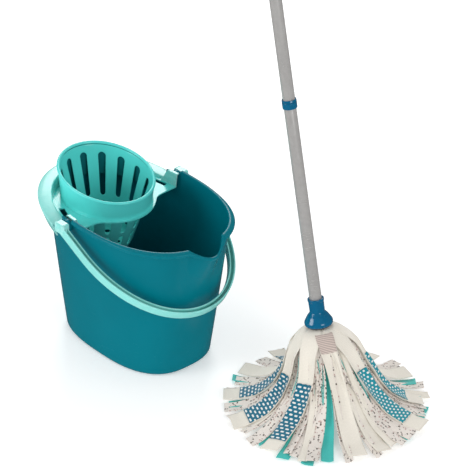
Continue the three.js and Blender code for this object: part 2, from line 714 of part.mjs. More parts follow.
// Places on the bail's middle line, from one pivot round the loop to the other, in its own plane:
// X along the arms and Y across.
function bailLine() {
  const points = [];
  for (const turn of spread(-Math.PI / 2, Math.PI / 2, 44)) {
    const loop = ovalPoint(BAIL_REACH - BAIL_STRAIGHT, BAIL_HALF_WIDTH, BAIL_POWER, turn);
    points.push(new THREE.Vector2(Math.max(loop.x, 0) + BAIL_STRAIGHT, loop.y));
  }
  const start = new THREE.Vector2(0, -BAIL_HALF_WIDTH);
  const end = new THREE.Vector2(0, BAIL_HALF_WIDTH);
  return [start, ...points, end];
}

// The loop is a channel: a tall outer wall and a lower inner wall, with a groove between them.
function bailLoop() {
  const line = bailLine();
  const high = BAIL_HEIGHT / 2;
  const wide = BAIL_THICKNESS / 2;
  const section = [
    [wide, -high + 1],
    [wide, high - 1],
    [wide - 1, high],
    [wide - BAIL_WALL, high],
    [wide - BAIL_WALL, -high + BAIL_WALL],
    [-wide + BAIL_WALL, -high + BAIL_WALL],
    [-wide + BAIL_WALL, high - 4],
    [-wide, high - 4],
    [-wide, -high + 1],
    [-wide + 1, -high],
    [wide - 1, -high],
  ];
  const rings = line.map((point, at) => {
    const before = line[Math.max(at - 1, 0)];
    const after = line[Math.min(at + 1, line.length - 1)];
    const along = after.clone().sub(before).normalize();
    return section.map(([out, up]) => {
      return new THREE.Vector3(point.x + along.y * out, point.y - along.x * out, up);
    });
  });
  return solidOf(loft(rings, 'flat'));
}

function bailHub(side) {
  const block = new THREE.ExtrudeGeometry(
    roundedRectangle(HUB_LENGTH, HUB_HEIGHT, 5),
    { depth: HUB_OUTER_Y - HUB_INNER_Y, bevelEnabled: false, curveSegments: 3 },
  );
  block.rotateX(Math.PI / 2);
  block.translate(0, side > 0 ? HUB_OUTER_Y : -HUB_INNER_Y, 0);
  block.rotateY(-BAIL_DROP);
  const peg = crossBar(PEG_RADIUS, 0, side * PEG_END_Y, side * (HUB_INNER_Y + 4), 0);
  return solidOf(block).add(solidOf(peg));
}

function bailHandle() {
  const loop = bailLoop().add(bailHub(-1)).add(bailHub(1));
  const bail = piece('bail_handle', geometryOf(loop), mint);
  bail.position.set(PIVOT_X, 0, PIVOT_Z);
  bail.rotation.y = BAIL_DROP;
  return bail;
}

// ---------------------------------------------------------------- mop: rigid pieces on the axis

function socketBell() {
  const bore = SOCKET_BORE;
  const profile = [
    [bore, TUBE_START - GAP],
    [bore, SOCKET_TOP],
    [SOCKET_NECK_RADIUS + 0.7, SOCKET_TOP],
    [SOCKET_NECK_RADIUS + 0.9, SOCKET_TOP - 3.5],
    [SOCKET_NECK_RADIUS, SOCKET_TOP - 5],
    [SOCKET_NECK_RADIUS - 0.2, SOCKET_SHOULDER + 4],
    [SOCKET_NECK_RADIUS + 2, SOCKET_SHOULDER],
    [SOCKET_BELL_RADIUS - 3.2, SOCKET_SHOULDER - 5],
    [SOCKET_BELL_RADIUS - 0.4, SOCKET_SHOULDER - 11],
    [SOCKET_BELL_RADIUS, SOCKET_FOOT + 5],
    [SOCKET_BELL_RADIUS - 1.2, SOCKET_FOOT],
    [SOCKET_BELL_RADIUS - 3.6, SOCKET_FOOT],
    [SOCKET_BELL_RADIUS - 3.6, SOCKET_FOOT + 7],
    [SOCKET_NECK_RADIUS - 1, SOCKET_SHOULDER - 5],
    [SPIGOT_RADIUS + GAP, SOCKET_SHOULDER - 5],
    [SPIGOT_RADIUS + GAP, TUBE_START - GAP],
    [bore, TUBE_START - GAP],
  ];
  return piece('socket_bell', turned(profile, 24), socketBlue);
}

// A spool under the bell: its flange carries the strips and its spindle takes the clamp screw.
function stripCore() {
  const profile = [
    [0, CORE_FLANGE_TOP + 4],
    [CORE_SPINDLE_RADIUS, CORE_FLANGE_TOP + 4],
    [CORE_SPINDLE_RADIUS + 2, CORE_FLANGE_TOP],
    [CORE_FLANGE_RADIUS, CORE_FLANGE_TOP],
    [CORE_FLANGE_RADIUS, CORE_FLANGE_FOOT],
    [CORE_SPINDLE_RADIUS, CORE_FLANGE_FOOT],
    [CORE_SPINDLE_RADIUS, CLAMP_TOP + GAP],
    [2.4, CLAMP_TOP + GAP],
    [2.4, CORE_FLANGE_TOP - 4],
    [0, CORE_FLANGE_TOP - 4],
  ];
  return piece('strip_core', turned(profile), darkPlastic);
}

function clampDisc() {
  const profile = [
    [2.6, CLAMP_TOP],
    [CLAMP_RADIUS - 1, CLAMP_TOP],
    [CLAMP_RADIUS, CLAMP_TOP - 1],
    [CLAMP_RADIUS - 1, CLAMP_TOP - CLAMP_THICKNESS],
    [2.6, CLAMP_TOP - CLAMP_THICKNESS],
    [2.6, CLAMP_TOP],
  ];
  return piece('clamp_disc', turned(profile), darkPlastic);
}

function clampScrew() {
  const head = CLAMP_TOP - CLAMP_THICKNESS - GAP;
  const profile = [
    [0, CORE_FLANGE_TOP - 6],
    [2, CORE_FLANGE_TOP - 6],
    [2, head],
    [4.6, head],
    [4.2, head - 2.2],
    [2.4, head - 3],
    [0, head - 3],
  ];
  return piece('clamp_screw', turned(profile, 12), steel);
}

function tubeSection(name, from, to) {
  const inner = TUBE_RADIUS - TUBE_WALL;
  const profile = [
    [inner, from],
    [TUBE_RADIUS - 0.3, from],
    [TUBE_RADIUS, from + 0.6],
    [TUBE_RADIUS, to - 0.6],
    [TUBE_RADIUS - 0.3, to],
    [inner, to],
    [inner, from],
  ];
  return piece(name, turned(profile), tubeGrey);
}

// The male half of a joint: a plug gripped in the foot of a tube, with a ridged spigot below it.
function threadPlug(name, tubeFoot) {
  const body = PLUG_RADIUS;
  const profile = [
    [0, tubeFoot + PLUG_GRIP],
    [body - 1, tubeFoot + PLUG_GRIP],
    [body, tubeFoot + PLUG_GRIP - 1],
    [body, tubeFoot + GAP],
    [SPIGOT_RADIUS - 1, tubeFoot - 0.5],
  ];
  const ridges = 4;
  const pitch = (PLUG_SPIGOT - 4) / ridges;
  for (let ridge = 0; ridge < ridges; ridge += 1) {
    const top = tubeFoot - 1.5 - ridge * pitch;
    const root = SPIGOT_RADIUS - 1;
    profile.push([root, top], [SPIGOT_RADIUS, top - pitch * 0.3], [root, top - pitch * 0.6]);
  }
  profile.push([SPIGOT_RADIUS - 2.4, tubeFoot - PLUG_SPIGOT + 2], [0, tubeFoot - PLUG_SPIGOT + 2]);
  return piece(name, turned(profile, 14), darkPlastic);
}

// The female half: a collar outside, with a threaded sleeve that sits in the head of the lower tube.
function coupler(name, tubeHead, tubeFoot) {
  const low = tubeHead - COUPLER_LENGTH / 2;
  const high = tubeFoot + COUPLER_LENGTH / 2;
  const bore = SPIGOT_RADIUS + GAP;
  const sleeve = PLUG_RADIUS;
  const outside = SOCKET_BORE;
  const profile = [
    [bore, tubeHead - PLUG_GRIP],
    [sleeve, tubeHead - PLUG_GRIP],
    [sleeve, tubeHead + GAP],
    [outside, tubeHead + GAP],
    [outside, low],
    [COUPLER_RADIUS - 0.8, low],
    [COUPLER_RADIUS, low + 0.8],
    [COUPLER_RADIUS, high - 2],
    [COUPLER_RADIUS - 1.3, high],
    [outside, high],
    [outside, tubeFoot - GAP],
    [bore, tubeFoot - GAP],
    [bore, tubeHead - PLUG_GRIP],
  ];
  return piece(name, turned(profile), socketBlue);
}

// A moulded cap over the top of the handle, ending in a flat hanging eye.
function endGrip(tubeHead) {
  const foot = tubeHead - GRIP_LENGTH + 14;
  const profile = [
    [SOCKET_BORE, foot],
    [GRIP_RADIUS - 0.6, foot],
    [GRIP_RADIUS, foot + 2],
    [GRIP_RADIUS, tubeHead - 2],
    [GRIP_RADIUS - 3, tubeHead + 7],
    [EYE_THICKNESS / 2, tubeHead + 12],
    [0, tubeHead + 12],
    [0, tubeHead + GAP],
    [SOCKET_BORE, tubeHead + GAP],
    [SOCKET_BORE, foot],
  ];
  const eyeZ = tubeHead + 20;
  const eye = crossBar(EYE_RADIUS, 0, -EYE_THICKNESS / 2, EYE_THICKNESS / 2, eyeZ, 24);
  const neck = new THREE.BoxGeometry(EYE_RADIUS * 1.5, EYE_THICKNESS, 16).translate(0, 0, tubeHead + 10);
  const hole = crossBar(EYE_HOLE_RADIUS, 0, -EYE_THICKNESS, EYE_THICKNESS, eyeZ + 2, 20);
  const grip = solidOf(turned(profile)).add(solidOf(neck)).add(solidOf(eye)).subtract(solidOf(hole));
  return piece('end_grip', geometryOf(grip), socketBlue);
}

// ---------------------------------------------------------------- mop: strips

// The line a strip follows, as (distance from the axis, height): out from the clamp, over a
// round shoulder, down, and out along the floor.
function stripLine(layer) {
  const down = layer.depth * STRIP_LAYER_STEP;
  const start = STRIP_START - down;
  const hang = new THREE.Vector2(SHOULDER_RADIUS - down, start - SHOULDER_FALL);
  const shoulder = new THREE.CubicBezierCurve(
    new THREE.Vector2(CORE_SPINDLE_RADIUS + 3, start),
    new THREE.Vector2(hang.x * 0.6, start),
    new THREE.Vector2(hang.x * 0.9, start - SHOULDER_FALL * 0.2),
    hang,
  );
  const fall = new THREE.CubicBezierCurve(
    hang,
    new THREE.Vector2(hang.x * 1.12, hang.y * 0.7),
    new THREE.Vector2(hang.x * 1.62, hang.y * 0.12),
    new THREE.Vector2(SPLAY_RADIUS - down * 2, STRIP_THICKNESS),
  );
  return [...shoulder.getPoints(5), ...fall.getPoints(7).slice(1)];
}

// Where a strip's place lies in space. Up at the clamp it follows the leaning head, on the floor it
// lies in the splay circle, and between them it passes smoothly from one to the other.
function stripPlace(radius, turn, height) {
  const along = radius * Math.cos(turn);
  const across = radius * Math.sin(turn);
  const floorPlace = new THREE.Vector3(SPLAY_X + along, SPLAY_Y + across, height);
  const headPlace = new THREE.Vector3(
    MOP_X + along * Math.cos(MOP_LEAN) - height * Math.sin(MOP_LEAN),
    MOP_Y + across,
    height * Math.cos(MOP_LEAN) + along * Math.sin(MOP_LEAN),
  );
  return floorPlace.lerp(headPlace, THREE.MathUtils.smoothstep(height, 0, HELD_HEIGHT));
}

function stripWidth(layer, radius) {
  const room = 2 * radius * Math.tan(Math.PI / layer.count) - 1.6;
  return Math.min(layer.width, Math.max(room, 3));
}

function strip(layer, at) {
  const turn = ((at + layer.turn) * Math.PI * 2) / layer.count;
  const line = stripLine(layer);
  const nudge = 0.01;
  const rings = line.map((point, place) => {
    const before = line[Math.max(place - 1, 0)];
    const after = line[Math.min(place + 1, line.length - 1)];
    const middle = stripPlace(point.x, turn, point.y);
    const across = stripPlace(point.x, turn + nudge, point.y).sub(middle).normalize();
    const along = stripPlace(after.x, turn, after.y).sub(stripPlace(before.x, turn, before.y)).normalize();
    const up = along.clone().cross(across).normalize().multiplyScalar(-STRIP_THICKNESS / 2);
    const side = across.clone().multiplyScalar(stripWidth(layer, point.x) / 2);
    const corners = [[-1, -1], [1, -1], [1, 1], [-1, 1]];
    return corners.map(([s, u]) => {
      const corner = middle.clone().addScaledVector(side, s).addScaledVector(up, u);
      return corner.setZ(Math.max(corner.z, u > 0 ? FLOOR_GAP + STRIP_THICKNESS : FLOOR_GAP));
    });
  });
  const finish = { color: layer.colour, roughness: 0.9, metalness: 0 };
  return piece(`${layer.name}_${at + 1}`, loft(rings), finish);
}

// ---------------------------------------------------------------- assembly

function handlePieces() {
  const pieces = [];
  const pitch = TUBE_LENGTH + 1;
  const names = ['lower', 'middle', 'upper'];
  names.forEach((name, at) => {
    const foot = TUBE_START + at * pitch;
    pieces.push(tubeSection(`${name}_tube`, foot, foot + TUBE_LENGTH));
    pieces.push(threadPlug(`${name}_plug`, foot));
    if (at < names.length - 1) {
      pieces.push(coupler(`${name}_coupler`, foot + TUBE_LENGTH, foot + pitch));
    }
  });
  pieces.push(endGrip(TUBE_START + (names.length - 1) * pitch + TUBE_LENGTH));
  return pieces;
}

const spinMop = new THREE.Group();
spinMop.add(bucketShell(), wringerInsert(), bailHandle());

const mopAxis = new THREE.Group();
mopAxis.position.set(MOP_X, MOP_Y, 0);
mopAxis.rotation.y = -MOP_LEAN;
mopAxis.add(socketBell(), stripCore(), clampDisc(), clampScrew(), ...handlePieces());
spinMop.add(mopAxis);

for (const layer of STRIP_LAYERS) {
  for (let at = 0; at < layer.count; at += 1) {
    spinMop.add(strip(layer, at));
  }
}

export default spinMop;
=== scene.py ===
"""Looks of an oval mop bucket with a press wringer, and of the strip mop that stands beside it.

All lengths are in metres and all angles in degrees, unless a name says otherwise. The bucket's long
axis is X, with its pouring spout at +X, and the floor is Z = 0.
"""

import logging
import math
import random
from dataclasses import dataclass, field
from enum import Enum
from typing import Any, Callable, Sequence

import bmesh
import bpy
import numpy as np
from mathutils import Matrix, Vector


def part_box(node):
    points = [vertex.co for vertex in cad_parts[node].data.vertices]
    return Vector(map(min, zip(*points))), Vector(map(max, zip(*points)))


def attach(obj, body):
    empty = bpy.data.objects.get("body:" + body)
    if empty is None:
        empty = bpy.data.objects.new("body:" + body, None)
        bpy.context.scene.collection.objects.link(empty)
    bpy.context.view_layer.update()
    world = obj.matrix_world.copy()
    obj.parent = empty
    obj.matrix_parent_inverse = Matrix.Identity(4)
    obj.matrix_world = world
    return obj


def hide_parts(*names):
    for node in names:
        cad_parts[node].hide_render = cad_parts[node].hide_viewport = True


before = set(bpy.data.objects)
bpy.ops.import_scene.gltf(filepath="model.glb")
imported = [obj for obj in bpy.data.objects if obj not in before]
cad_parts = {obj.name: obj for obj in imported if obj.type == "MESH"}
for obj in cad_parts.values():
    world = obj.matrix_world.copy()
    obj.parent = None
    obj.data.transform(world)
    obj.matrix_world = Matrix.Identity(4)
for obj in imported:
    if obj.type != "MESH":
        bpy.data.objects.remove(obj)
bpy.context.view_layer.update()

LOG = logging.getLogger("spin_mop")
TAU = 2 * math.pi
Colour = tuple[float, float, float, float]
Outline = list[tuple[float, float]]


# ---------------------------------------------------------------- small arithmetic


def lerp(low: Any, high: Any, share: Any) -> Any:
    """Returns the value that lies a share of the way from low to high."""
    return low + (high - low) * share


def smoothstep(value: Any, low: float, high: float) -> Any:
    """Returns 0 below low, 1 above high and a smooth rise between them."""
    share = np.clip((value - low) / (high - low), 0, 1)
    return share * share * (3 - 2 * share)


def oval(half_length: Any, half_width: Any, power: Any, turn: Any) -> tuple[Any, Any]:
    """Places on a superellipse.

    Args:
        half_length: half of its size along X.
        half_width: half of its size along Y.
        power: 2 for an ellipse, more for a squarer oval.
        turn: the places, as angles in radians.

    Returns:
        Their X and Y.
    """
    along, across = np.cos(turn), np.sin(turn)
    x = half_length * np.sign(along) * np.abs(along) ** (2 / power)
    y = half_width * np.sign(across) * np.abs(across) ** (2 / power)
    return x, y


def colour(red: int, green: int, blue: int) -> Colour:
    """Mixes a colour from screen values.

    Args:
        red, green, blue: the screen values, from 0 to 255.

    Returns:
        The colour in linear light.
    """
    screen = np.array([red, green, blue]) / 255
    light = np.where(screen <= 0.04045, screen / 12.92, ((screen + 0.055) / 1.055) ** 2.4)
    return (float(light[0]), float(light[1]), float(light[2]), 1.0)


def rounded(corners: Sequence[tuple[float, float, float]], closed: bool = True, steps: int = 4) -> Outline:
    """An outline with its corners rounded off.

    Args:
        corners: (a, b, radius) of each corner in order.
        closed: whether the last corner joins the first.
        steps: segments in each rounding.

    Returns:
        The points of the outline.
    """
    points: Outline = []
    count = len(corners)
    for at, (a, b, radius) in enumerate(corners):
        here = Vector((a, b))
        if radius == 0 or (not closed and at in (0, count - 1)):
            points.append((a, b))
            continue
        before = Vector(corners[at - 1][:2]) - here
        after = Vector(corners[(at + 1) % count][:2]) - here
        reach = radius / math.tan(before.angle(after) / 2)
        reach = min(reach, before.length * 0.49, after.length * 0.49)
        start = here + before.normalized() * reach
        end = here + after.normalized() * reach
        for step in range(steps + 1):
            share = step / steps
            place = start.lerp(here, share).lerp(here.lerp(end, share), share)
            points.append((place.x, place.y))
    return points


# ---------------------------------------------------------------- mesh making


class MeshDraft:
    """The corners and faces of one piece, gathered before its object is made."""

    def __init__(self) -> None:
        """Starts an empty draft."""
        self.corners: list[np.ndarray] = []
        self.faces: list[list[int]] = []
        self.count = 0

    def add_corners(self, places: np.ndarray) -> int:
        """Adds places without any face.

        Args:
            places: an array of (n, 3).

        Returns:
            The number of the first.
        """
        first = self.count
        self.corners.append(np.asarray(places, float).reshape(-1, 3))
        self.count += len(self.corners[-1])
        return first

    def add_rows(
        self, rows: np.ndarray, around: bool = True, looped: bool = False, capped: bool = False
    ) -> None:
        """Adds a surface through rows of corners.

        Args:
            rows: an array of (rows, corners in a row, 3).
            around: whether each row closes on itself.
            looped: whether the last row joins the first.
            capped: whether one face closes each end of the stack.
        """
        count, size = rows.shape[:2]
        first = self.add_corners(rows)
        last_row = count if looped else count - 1
        last_column = size if around else size - 1
        for row in range(last_row):
            here = first + row * size
            there = first + ((row + 1) % count) * size
            for column in range(last_column):
                side = (column + 1) % size
                self.faces.append([here + column, here + side, there + side, there + column])
        if capped:
            self.faces.append([first + column for column in reversed(range(size))])
            self.faces.append([first + (count - 1) * size + column for column in range(size)])

    def add_turned(self, outline: Outline, place: Matrix, segments: int = 96) -> None:
        """Adds a turned surface.

        Args:
            outline: (radius, height) pairs, closed on themselves or on the axis.
            place: where its axis stands.
            segments: how many steps there are around it.
        """
        turns = np.linspace(0, TAU, segments, endpoint=False)
        on_axis = outline[0][0] < 1e-7 and outline[-1][0] < 1e-7
        rows = [
            [(radius * math.cos(turn), radius * math.sin(turn), height) for turn in turns]
            for radius, height in outline
        ]
        self.add_rows(moved(np.array(rows), place), looped=not on_axis)

    def add_block(self, outline: Outline, low: float, high: float, place: Matrix, edge: float = 0.0) -> None:
        """Adds a flat outline in the XY plane drawn out along Z from low to high.

        Args:
            outline: its places.
            low: the lower height.
            high: the upper height.
            place: where its own frame lies.
            edge: how far its two rims are drawn in, to round them.
        """
        flat = np.array(outline)
        middle = flat.mean(0)
        size = np.abs(flat - middle).max()
        rows = []
        for height, inset in ((low, edge), (low + edge, 0), (high - edge, 0), (high, edge)):
            drawn = middle + (flat - middle) * (1 - inset / size)
            rows.append(np.column_stack([drawn, np.full(len(flat), height)]))
        self.add_rows(moved(np.array(rows), place), capped=True)

    def build(self, name: str, sharp: float = 32, uv: np.ndarray | None = None) -> bpy.types.Object:
        """Makes the object.

        Args:
            name: the piece's name.
            sharp: edges that turn by more degrees than this stay sharp.
            uv: one (u, v) pair for each corner, in metres.

        Returns:
            The object, linked to the scene.
        """
        mesh = bpy.data.meshes.new(name)
        mesh.from_pydata(np.concatenate(self.corners).tolist(), [], self.faces)
        work = bmesh.new()
        work.from_mesh(mesh)
        if uv is not None:
            layer = work.loops.layers.uv.new("cut")
            for face in work.faces:
                for loop in face.loops:
                    loop[layer].uv = uv[loop.vert.index]
        bmesh.ops.remove_doubles(work, verts=work.verts, dist=1e-6)
        bmesh.ops.dissolve_degenerate(work, edges=work.edges, dist=1e-7)
        bmesh.ops.recalc_face_normals(work, faces=work.faces)
        mark_smooth(work, sharp)
        work.to_mesh(mesh)
        work.free()
        piece = bpy.data.objects.new(name, mesh)
        bpy.context.scene.collection.objects.link(piece)
        return piece


def mark_smooth(work: bmesh.types.BMesh, sharp: float) -> None:
    """Shades every face smooth and keeps the edges that turn by more than sharp degrees.

    Args:
        work: the mesh.
        sharp: the angle in degrees.
    """
    for face in work.faces:
        face.smooth = True
    for edge in work.edges:
        edge.smooth = not edge.is_manifold or edge.calc_face_angle() < math.radians(sharp)


def moved(places: np.ndarray, place: Matrix) -> np.ndarray:
    """Returns places carried from a piece's own frame to the scene."""
    matrix = np.array(place)
    return places @ matrix[:3, :3].T + matrix[:3, 3]


def applied(piece: bpy.types.Object) -> bpy.types.Object:
    """Writes a piece's modifiers into its mesh.

    Args:
        piece: the piece.

    Returns:
        The same piece.
    """
    evaluated = piece.evaluated_get(bpy.context.evaluated_depsgraph_get())
    mesh = bpy.data.meshes.new_from_object(evaluated)
    piece.modifiers.clear()
    piece.data = mesh
    return piece


# ---------------------------------------------------------------- shader building blocks


class NodeSheet:
    """A node tree being laid out, for a material or for a group."""

    def __init__(self, tree: bpy.types.NodeTree) -> None:
        """Starts on an empty tree."""
        self.tree = tree

    def add(self, kind: str, inputs: dict[Any, Any] | None = None, **settings: Any) -> bpy.types.Node:
        """Adds a node.

        Args:
            kind: its type, without the ShaderNode that every type here starts with.
            inputs: a value or another node's output for each named or numbered input.
            settings: the node's own properties.

        Returns:
            The node.
        """
        node = self.tree.nodes.new("ShaderNode" + kind)
        for name, value in settings.items():
            setattr(node, name, value)
        for name, value in (inputs or {}).items():
            self.feed(node.inputs[name], value)
        return node

    def feed(self, socket: bpy.types.NodeSocket, value: Any) -> None:
        """Links a socket to an output, or sets its value.

        Args:
            socket: an input.
            value: an output, or a plain value.
        """
        if isinstance(value, bpy.types.NodeSocket):
            self.tree.links.new(value, socket)
        else:
            socket.default_value = value

    def math(self, operation: str, *values: Any) -> bpy.types.NodeSocket:
        """Returns the output of an arithmetic node."""
        return self.add("Math", dict(enumerate(values)), operation=operation).outputs[0]

    def span(
        self, value: Any, low: Any, high: Any, to_low: Any = 0.0, to_high: Any = 1.0
    ) -> bpy.types.NodeSocket:
        """Returns a value carried from one range to another and held inside it."""
        sockets = {"Value": value, "From Min": low, "From Max": high, "To Min": to_low, "To Max": to_high}
        return self.add("MapRange", sockets).outputs["Result"]

    def blend(self, share: Any, low: Any, high: Any, way: str = "MIX") -> bpy.types.NodeSocket:
        """Returns a mix of two colours."""
        node = self.add("Mix", {0: share, 6: low, 7: high}, data_type="RGBA", blend_type=way)
        return node.outputs[2]

    def noise(
        self, vector: Any, scale: Any, detail: float = 3.0, rough: float = 0.55
    ) -> bpy.types.NodeSocket:
        """Returns the value of a noise texture."""
        sockets = {"Vector": vector, "Scale": scale, "Detail": detail, "Roughness": rough}
        return self.add("TexNoise", sockets).outputs[0]


class EffectGroup:
    """A shader node group with named inputs and outputs, built once and shared by the finishes."""

    def __init__(self, name: str, inputs: dict[str, float], outputs: Sequence[str],
                 draw: Callable[[NodeSheet, dict[str, bpy.types.NodeSocket]], dict[str, Any]]) -> None:
        """Builds the group.

        Args:
            name: the group's name.
            inputs: the name and usual value of each input.
            outputs: the names of its outputs.
            draw: lays the nodes out, given the sheet and the inputs, and returns each output's source.
        """
        self.tree = bpy.data.node_groups.new(name, "ShaderNodeTree")
        for label, value in inputs.items():
            socket = self.tree.interface.new_socket(label, in_out="INPUT", socket_type="NodeSocketFloat")
            socket.default_value = value
        for label in outputs:
            self.tree.interface.new_socket(label, in_out="OUTPUT", socket_type="NodeSocketFloat")
        start = self.tree.nodes.new("NodeGroupInput")
        end = self.tree.nodes.new("NodeGroupOutput")
        sheet = NodeSheet(self.tree)
        for label, source in draw(sheet, {s.name: s for s in start.outputs if s.name}).items():
            self.tree.links.new(source, end.inputs[label])

    def place(self, sheet: NodeSheet, **values: Any) -> dict[str, bpy.types.NodeSocket]:
        """Places the group in a material.

        Args:
            sheet: the material's sheet.
            values: its inputs, with an underscore for each space.

        Returns:
            The outputs by name.
        """
        node = sheet.add("Group", node_tree=self.tree)
        for label, value in values.items():
            sheet.feed(node.inputs[label.replace("_", " ")], value)
        return {socket.name: socket for socket in node.outputs}


def draw_edge_wear(sheet: NodeSheet, given: dict[str, bpy.types.NodeSocket]) -> dict[str, Any]:
    """Rubbed edges: a mask that follows raised edges and is broken up by noise."""
    where = sheet.add("TexCoord").outputs["Object"]
    raised = sheet.span(sheet.add("NewGeometry").outputs["Pointiness"], 0.505, 0.56)
    broken = sheet.span(sheet.noise(where, 90.0, 4.0), 0.38, 0.62)
    share = sheet.math("MULTIPLY", raised, broken)
    return {"Mask": sheet.math("MULTIPLY", share, given["Strength"])}


def draw_scuffs(sheet: NodeSheet, given: dict[str, bpy.types.NodeSocket]) -> dict[str, Any]:
    """Fine scuffs: short streaks that gather towards the given height and below it."""
    where = sheet.add("TexCoord").outputs["Object"]
    streaks = sheet.add("Mapping", {"Vector": where, "Scale": (1.0, 1.0, 9.0), "Rotation": (0.5, 0.2, 0.9)})
    fine = sheet.span(sheet.noise(streaks.outputs[0], 70.0, 6.0, 0.7), 0.6, 0.72)
    patches = sheet.span(sheet.noise(where, 9.0, 2.0), 0.45, 0.65)
    height = sheet.add("SeparateXYZ", {0: where}).outputs["Z"]
    low_down = sheet.span(height, given["Height"], 0.0, 0.35, 1.0)
    share = sheet.math("MULTIPLY", sheet.math("MULTIPLY", fine, patches), low_down)
    return {"Mask": sheet.math("MULTIPLY", share, given["Strength"])}


def draw_grain(sheet: NodeSheet, given: dict[str, bpy.types.NodeSocket]) -> dict[str, Any]:
    """The fine texture of a moulded surface and its slow drift in tone."""
    where = sheet.add("TexCoord").outputs["Object"]
    fine = sheet.noise(where, given["Scale"], 2.0, 0.5)
    slow = sheet.noise(where, 6.0, 2.0)
    flow = sheet.add("TexNoise", {"Vector": where, "Scale": 14.0, "Detail": 1.0, "Distortion": 1.2})
    return {"Height": sheet.math("MULTIPLY_ADD", flow.outputs[0], 3.0, fine), "Fine": fine, "Drift": slow}


def draw_dust(sheet: NodeSheet, given: dict[str, bpy.types.NodeSocket]) -> dict[str, Any]:
    """Dust and dried splashes on the faces that look up."""
    where = sheet.add("TexCoord").outputs["Object"]
    up = sheet.add("SeparateXYZ", {0: sheet.add("NewGeometry").outputs["Normal"]}).outputs["Z"]
    facing = sheet.span(up, 0.2, 0.95)
    spots = sheet.span(sheet.noise(where, 240.0, 5.0, 0.7), 0.48, 0.74)
    return {"Mask": sheet.math("MULTIPLY", sheet.math("MULTIPLY", facing, spots), given["Amount"])}


def draw_fibres(sheet: NodeSheet, given: dict[str, bpy.types.NodeSocket]) -> dict[str, Any]:
    """Nonwoven cloth: matted fibres, with the rows of fine perforations that bond them, and a tone that
    paints shade into the dimples and where the fibres lie low.
    """
    cut = sheet.add("TexCoord").outputs["UV"]
    along = sheet.add("Mapping", {"Vector": cut, "Scale": (1.0, 0.25, 1.0)}).outputs[0]
    matted = sheet.noise(along, given["Scale"], 5.0, 0.7)
    crossing = sheet.noise(cut, sheet.math("MULTIPLY", given["Scale"], 0.5), 4.0, 0.7)
    rows = sheet.add("TexVoronoi", {"Vector": cut, "Scale": given["Rows"], "Randomness": 0.15})
    dimples = sheet.span(rows.outputs["Distance"], 0.0, 0.35)
    fibres = sheet.math("ADD", matted, sheet.math("MULTIPLY", crossing, 0.6))
    height = sheet.math("MULTIPLY_ADD", dimples, 0.7, fibres)
    # The tone is painted shade, darkest in the dimples and where the fibres lie low; it also sets the
    # roughness.
    return {"Height": height, "Tone": sheet.span(sheet.math("MULTIPLY", fibres, dimples), 0.2, 1.0)}


def draw_specks(sheet: NodeSheet, given: dict[str, bpy.types.NodeSocket]) -> dict[str, Any]:
    """Scattered specks of coloured fibre, each with its own random number."""
    cut = sheet.add("TexCoord").outputs["UV"]
    sway = sheet.add("TexNoise", {"Vector": cut, "Scale": 420.0, "Detail": 1.0}).outputs[1]
    bent = sheet.add("Mix", {0: 0.0035, 4: cut, 5: sway}, data_type="VECTOR").outputs[1]
    cells = sheet.add("TexVoronoi", {"Vector": bent, "Scale": given["Scale"], "Randomness": 1.0})
    number = sheet.add("SeparateColor", {0: cells.outputs["Color"]})
    chosen = sheet.math("LESS_THAN", number.outputs[0], given["Share"])
    small = sheet.span(cells.outputs["Distance"], 0.5, 0.38)
    return {"Mask": sheet.math("MULTIPLY", chosen, small), "Number": number.outputs[1]}


def draw_blocks(sheet: NodeSheet, given: dict[str, bpy.types.NodeSocket]) -> dict[str, Any]:
    """Rows of small rounded blocks, each row shifted by half a pitch from the one before."""
    cut = sheet.add("SeparateXYZ", {0: sheet.add("TexCoord").outputs["UV"]})
    row = sheet.math("DIVIDE", cut.outputs["Y"], given["Row Pitch"])
    shift = sheet.math("MULTIPLY", sheet.math("PINGPONG", sheet.math("FLOOR", row), 1.0), 0.5)
    column = sheet.math("ADD", sheet.math("DIVIDE", cut.outputs["X"], given["Column Pitch"]), shift)
    sides = []
    for place, share in ((column, given["Block Length"]), (row, given["Block Width"])):
        off = sheet.math("ABSOLUTE", sheet.math("SUBTRACT", sheet.math("FRACT", place), 0.5))
        sides.append(sheet.math("POWER", sheet.math("DIVIDE", off, sheet.math("MULTIPLY", share, 0.5)), 3.0))
    return {"Mask": sheet.span(sheet.math("ADD", *sides), 1.15, 0.75)}


def draw_hatch(sheet: NodeSheet, given: dict[str, bpy.types.NodeSocket]) -> dict[str, Any]:
    """Slanting printed lines."""
    cut = sheet.add("TexCoord").outputs["UV"]
    turned = sheet.add("Mapping", {"Vector": cut, "Rotation": (0.0, 0.0, 1.12)}).outputs[0]
    across = sheet.add("SeparateXYZ", {0: turned}).outputs["X"]
    wave = sheet.math("PINGPONG", across, given["Pitch"])
    share = sheet.math("DIVIDE", wave, given["Pitch"])
    return {"Mask": sheet.span(share, 0.35, 0.65)}


class Effects:
    """Every shared effect, built once."""

    def __init__(self) -> None:
        """Builds the groups."""
        self.edge_wear = EffectGroup("edge_wear", {"Strength": 0.4}, ["Mask"], draw_edge_wear)
        self.scuffs = EffectGroup("scuffs", {"Strength": 0.3, "Height": 0.2}, ["Mask"], draw_scuffs)
        self.grain = EffectGroup("moulded_grain", {"Scale": 900.0}, ["Height", "Fine", "Drift"], draw_grain)
        self.dust = EffectGroup("settled_dust", {"Amount": 0.3}, ["Mask"], draw_dust)
        self.fibres = EffectGroup(
            "cloth_fibres", {"Scale": 900.0, "Rows": 420.0}, ["Height", "Tone"], draw_fibres
        )
        self.specks = EffectGroup(
            "cloth_specks", {"Scale": 260.0, "Share": 0.2}, ["Mask", "Number"], draw_specks
        )
        self.blocks = EffectGroup(
            "printed_blocks",
            {"Row Pitch": 0.0072, "Column Pitch": 0.0118, "Block Length": 0.62, "Block Width": 0.48},
            ["Mask"],
            draw_blocks,
        )
        self.hatch = EffectGroup("slanted_hatch", {"Pitch": 0.0021}, ["Mask"], draw_hatch)


# ---------------------------------------------------------------- finishes


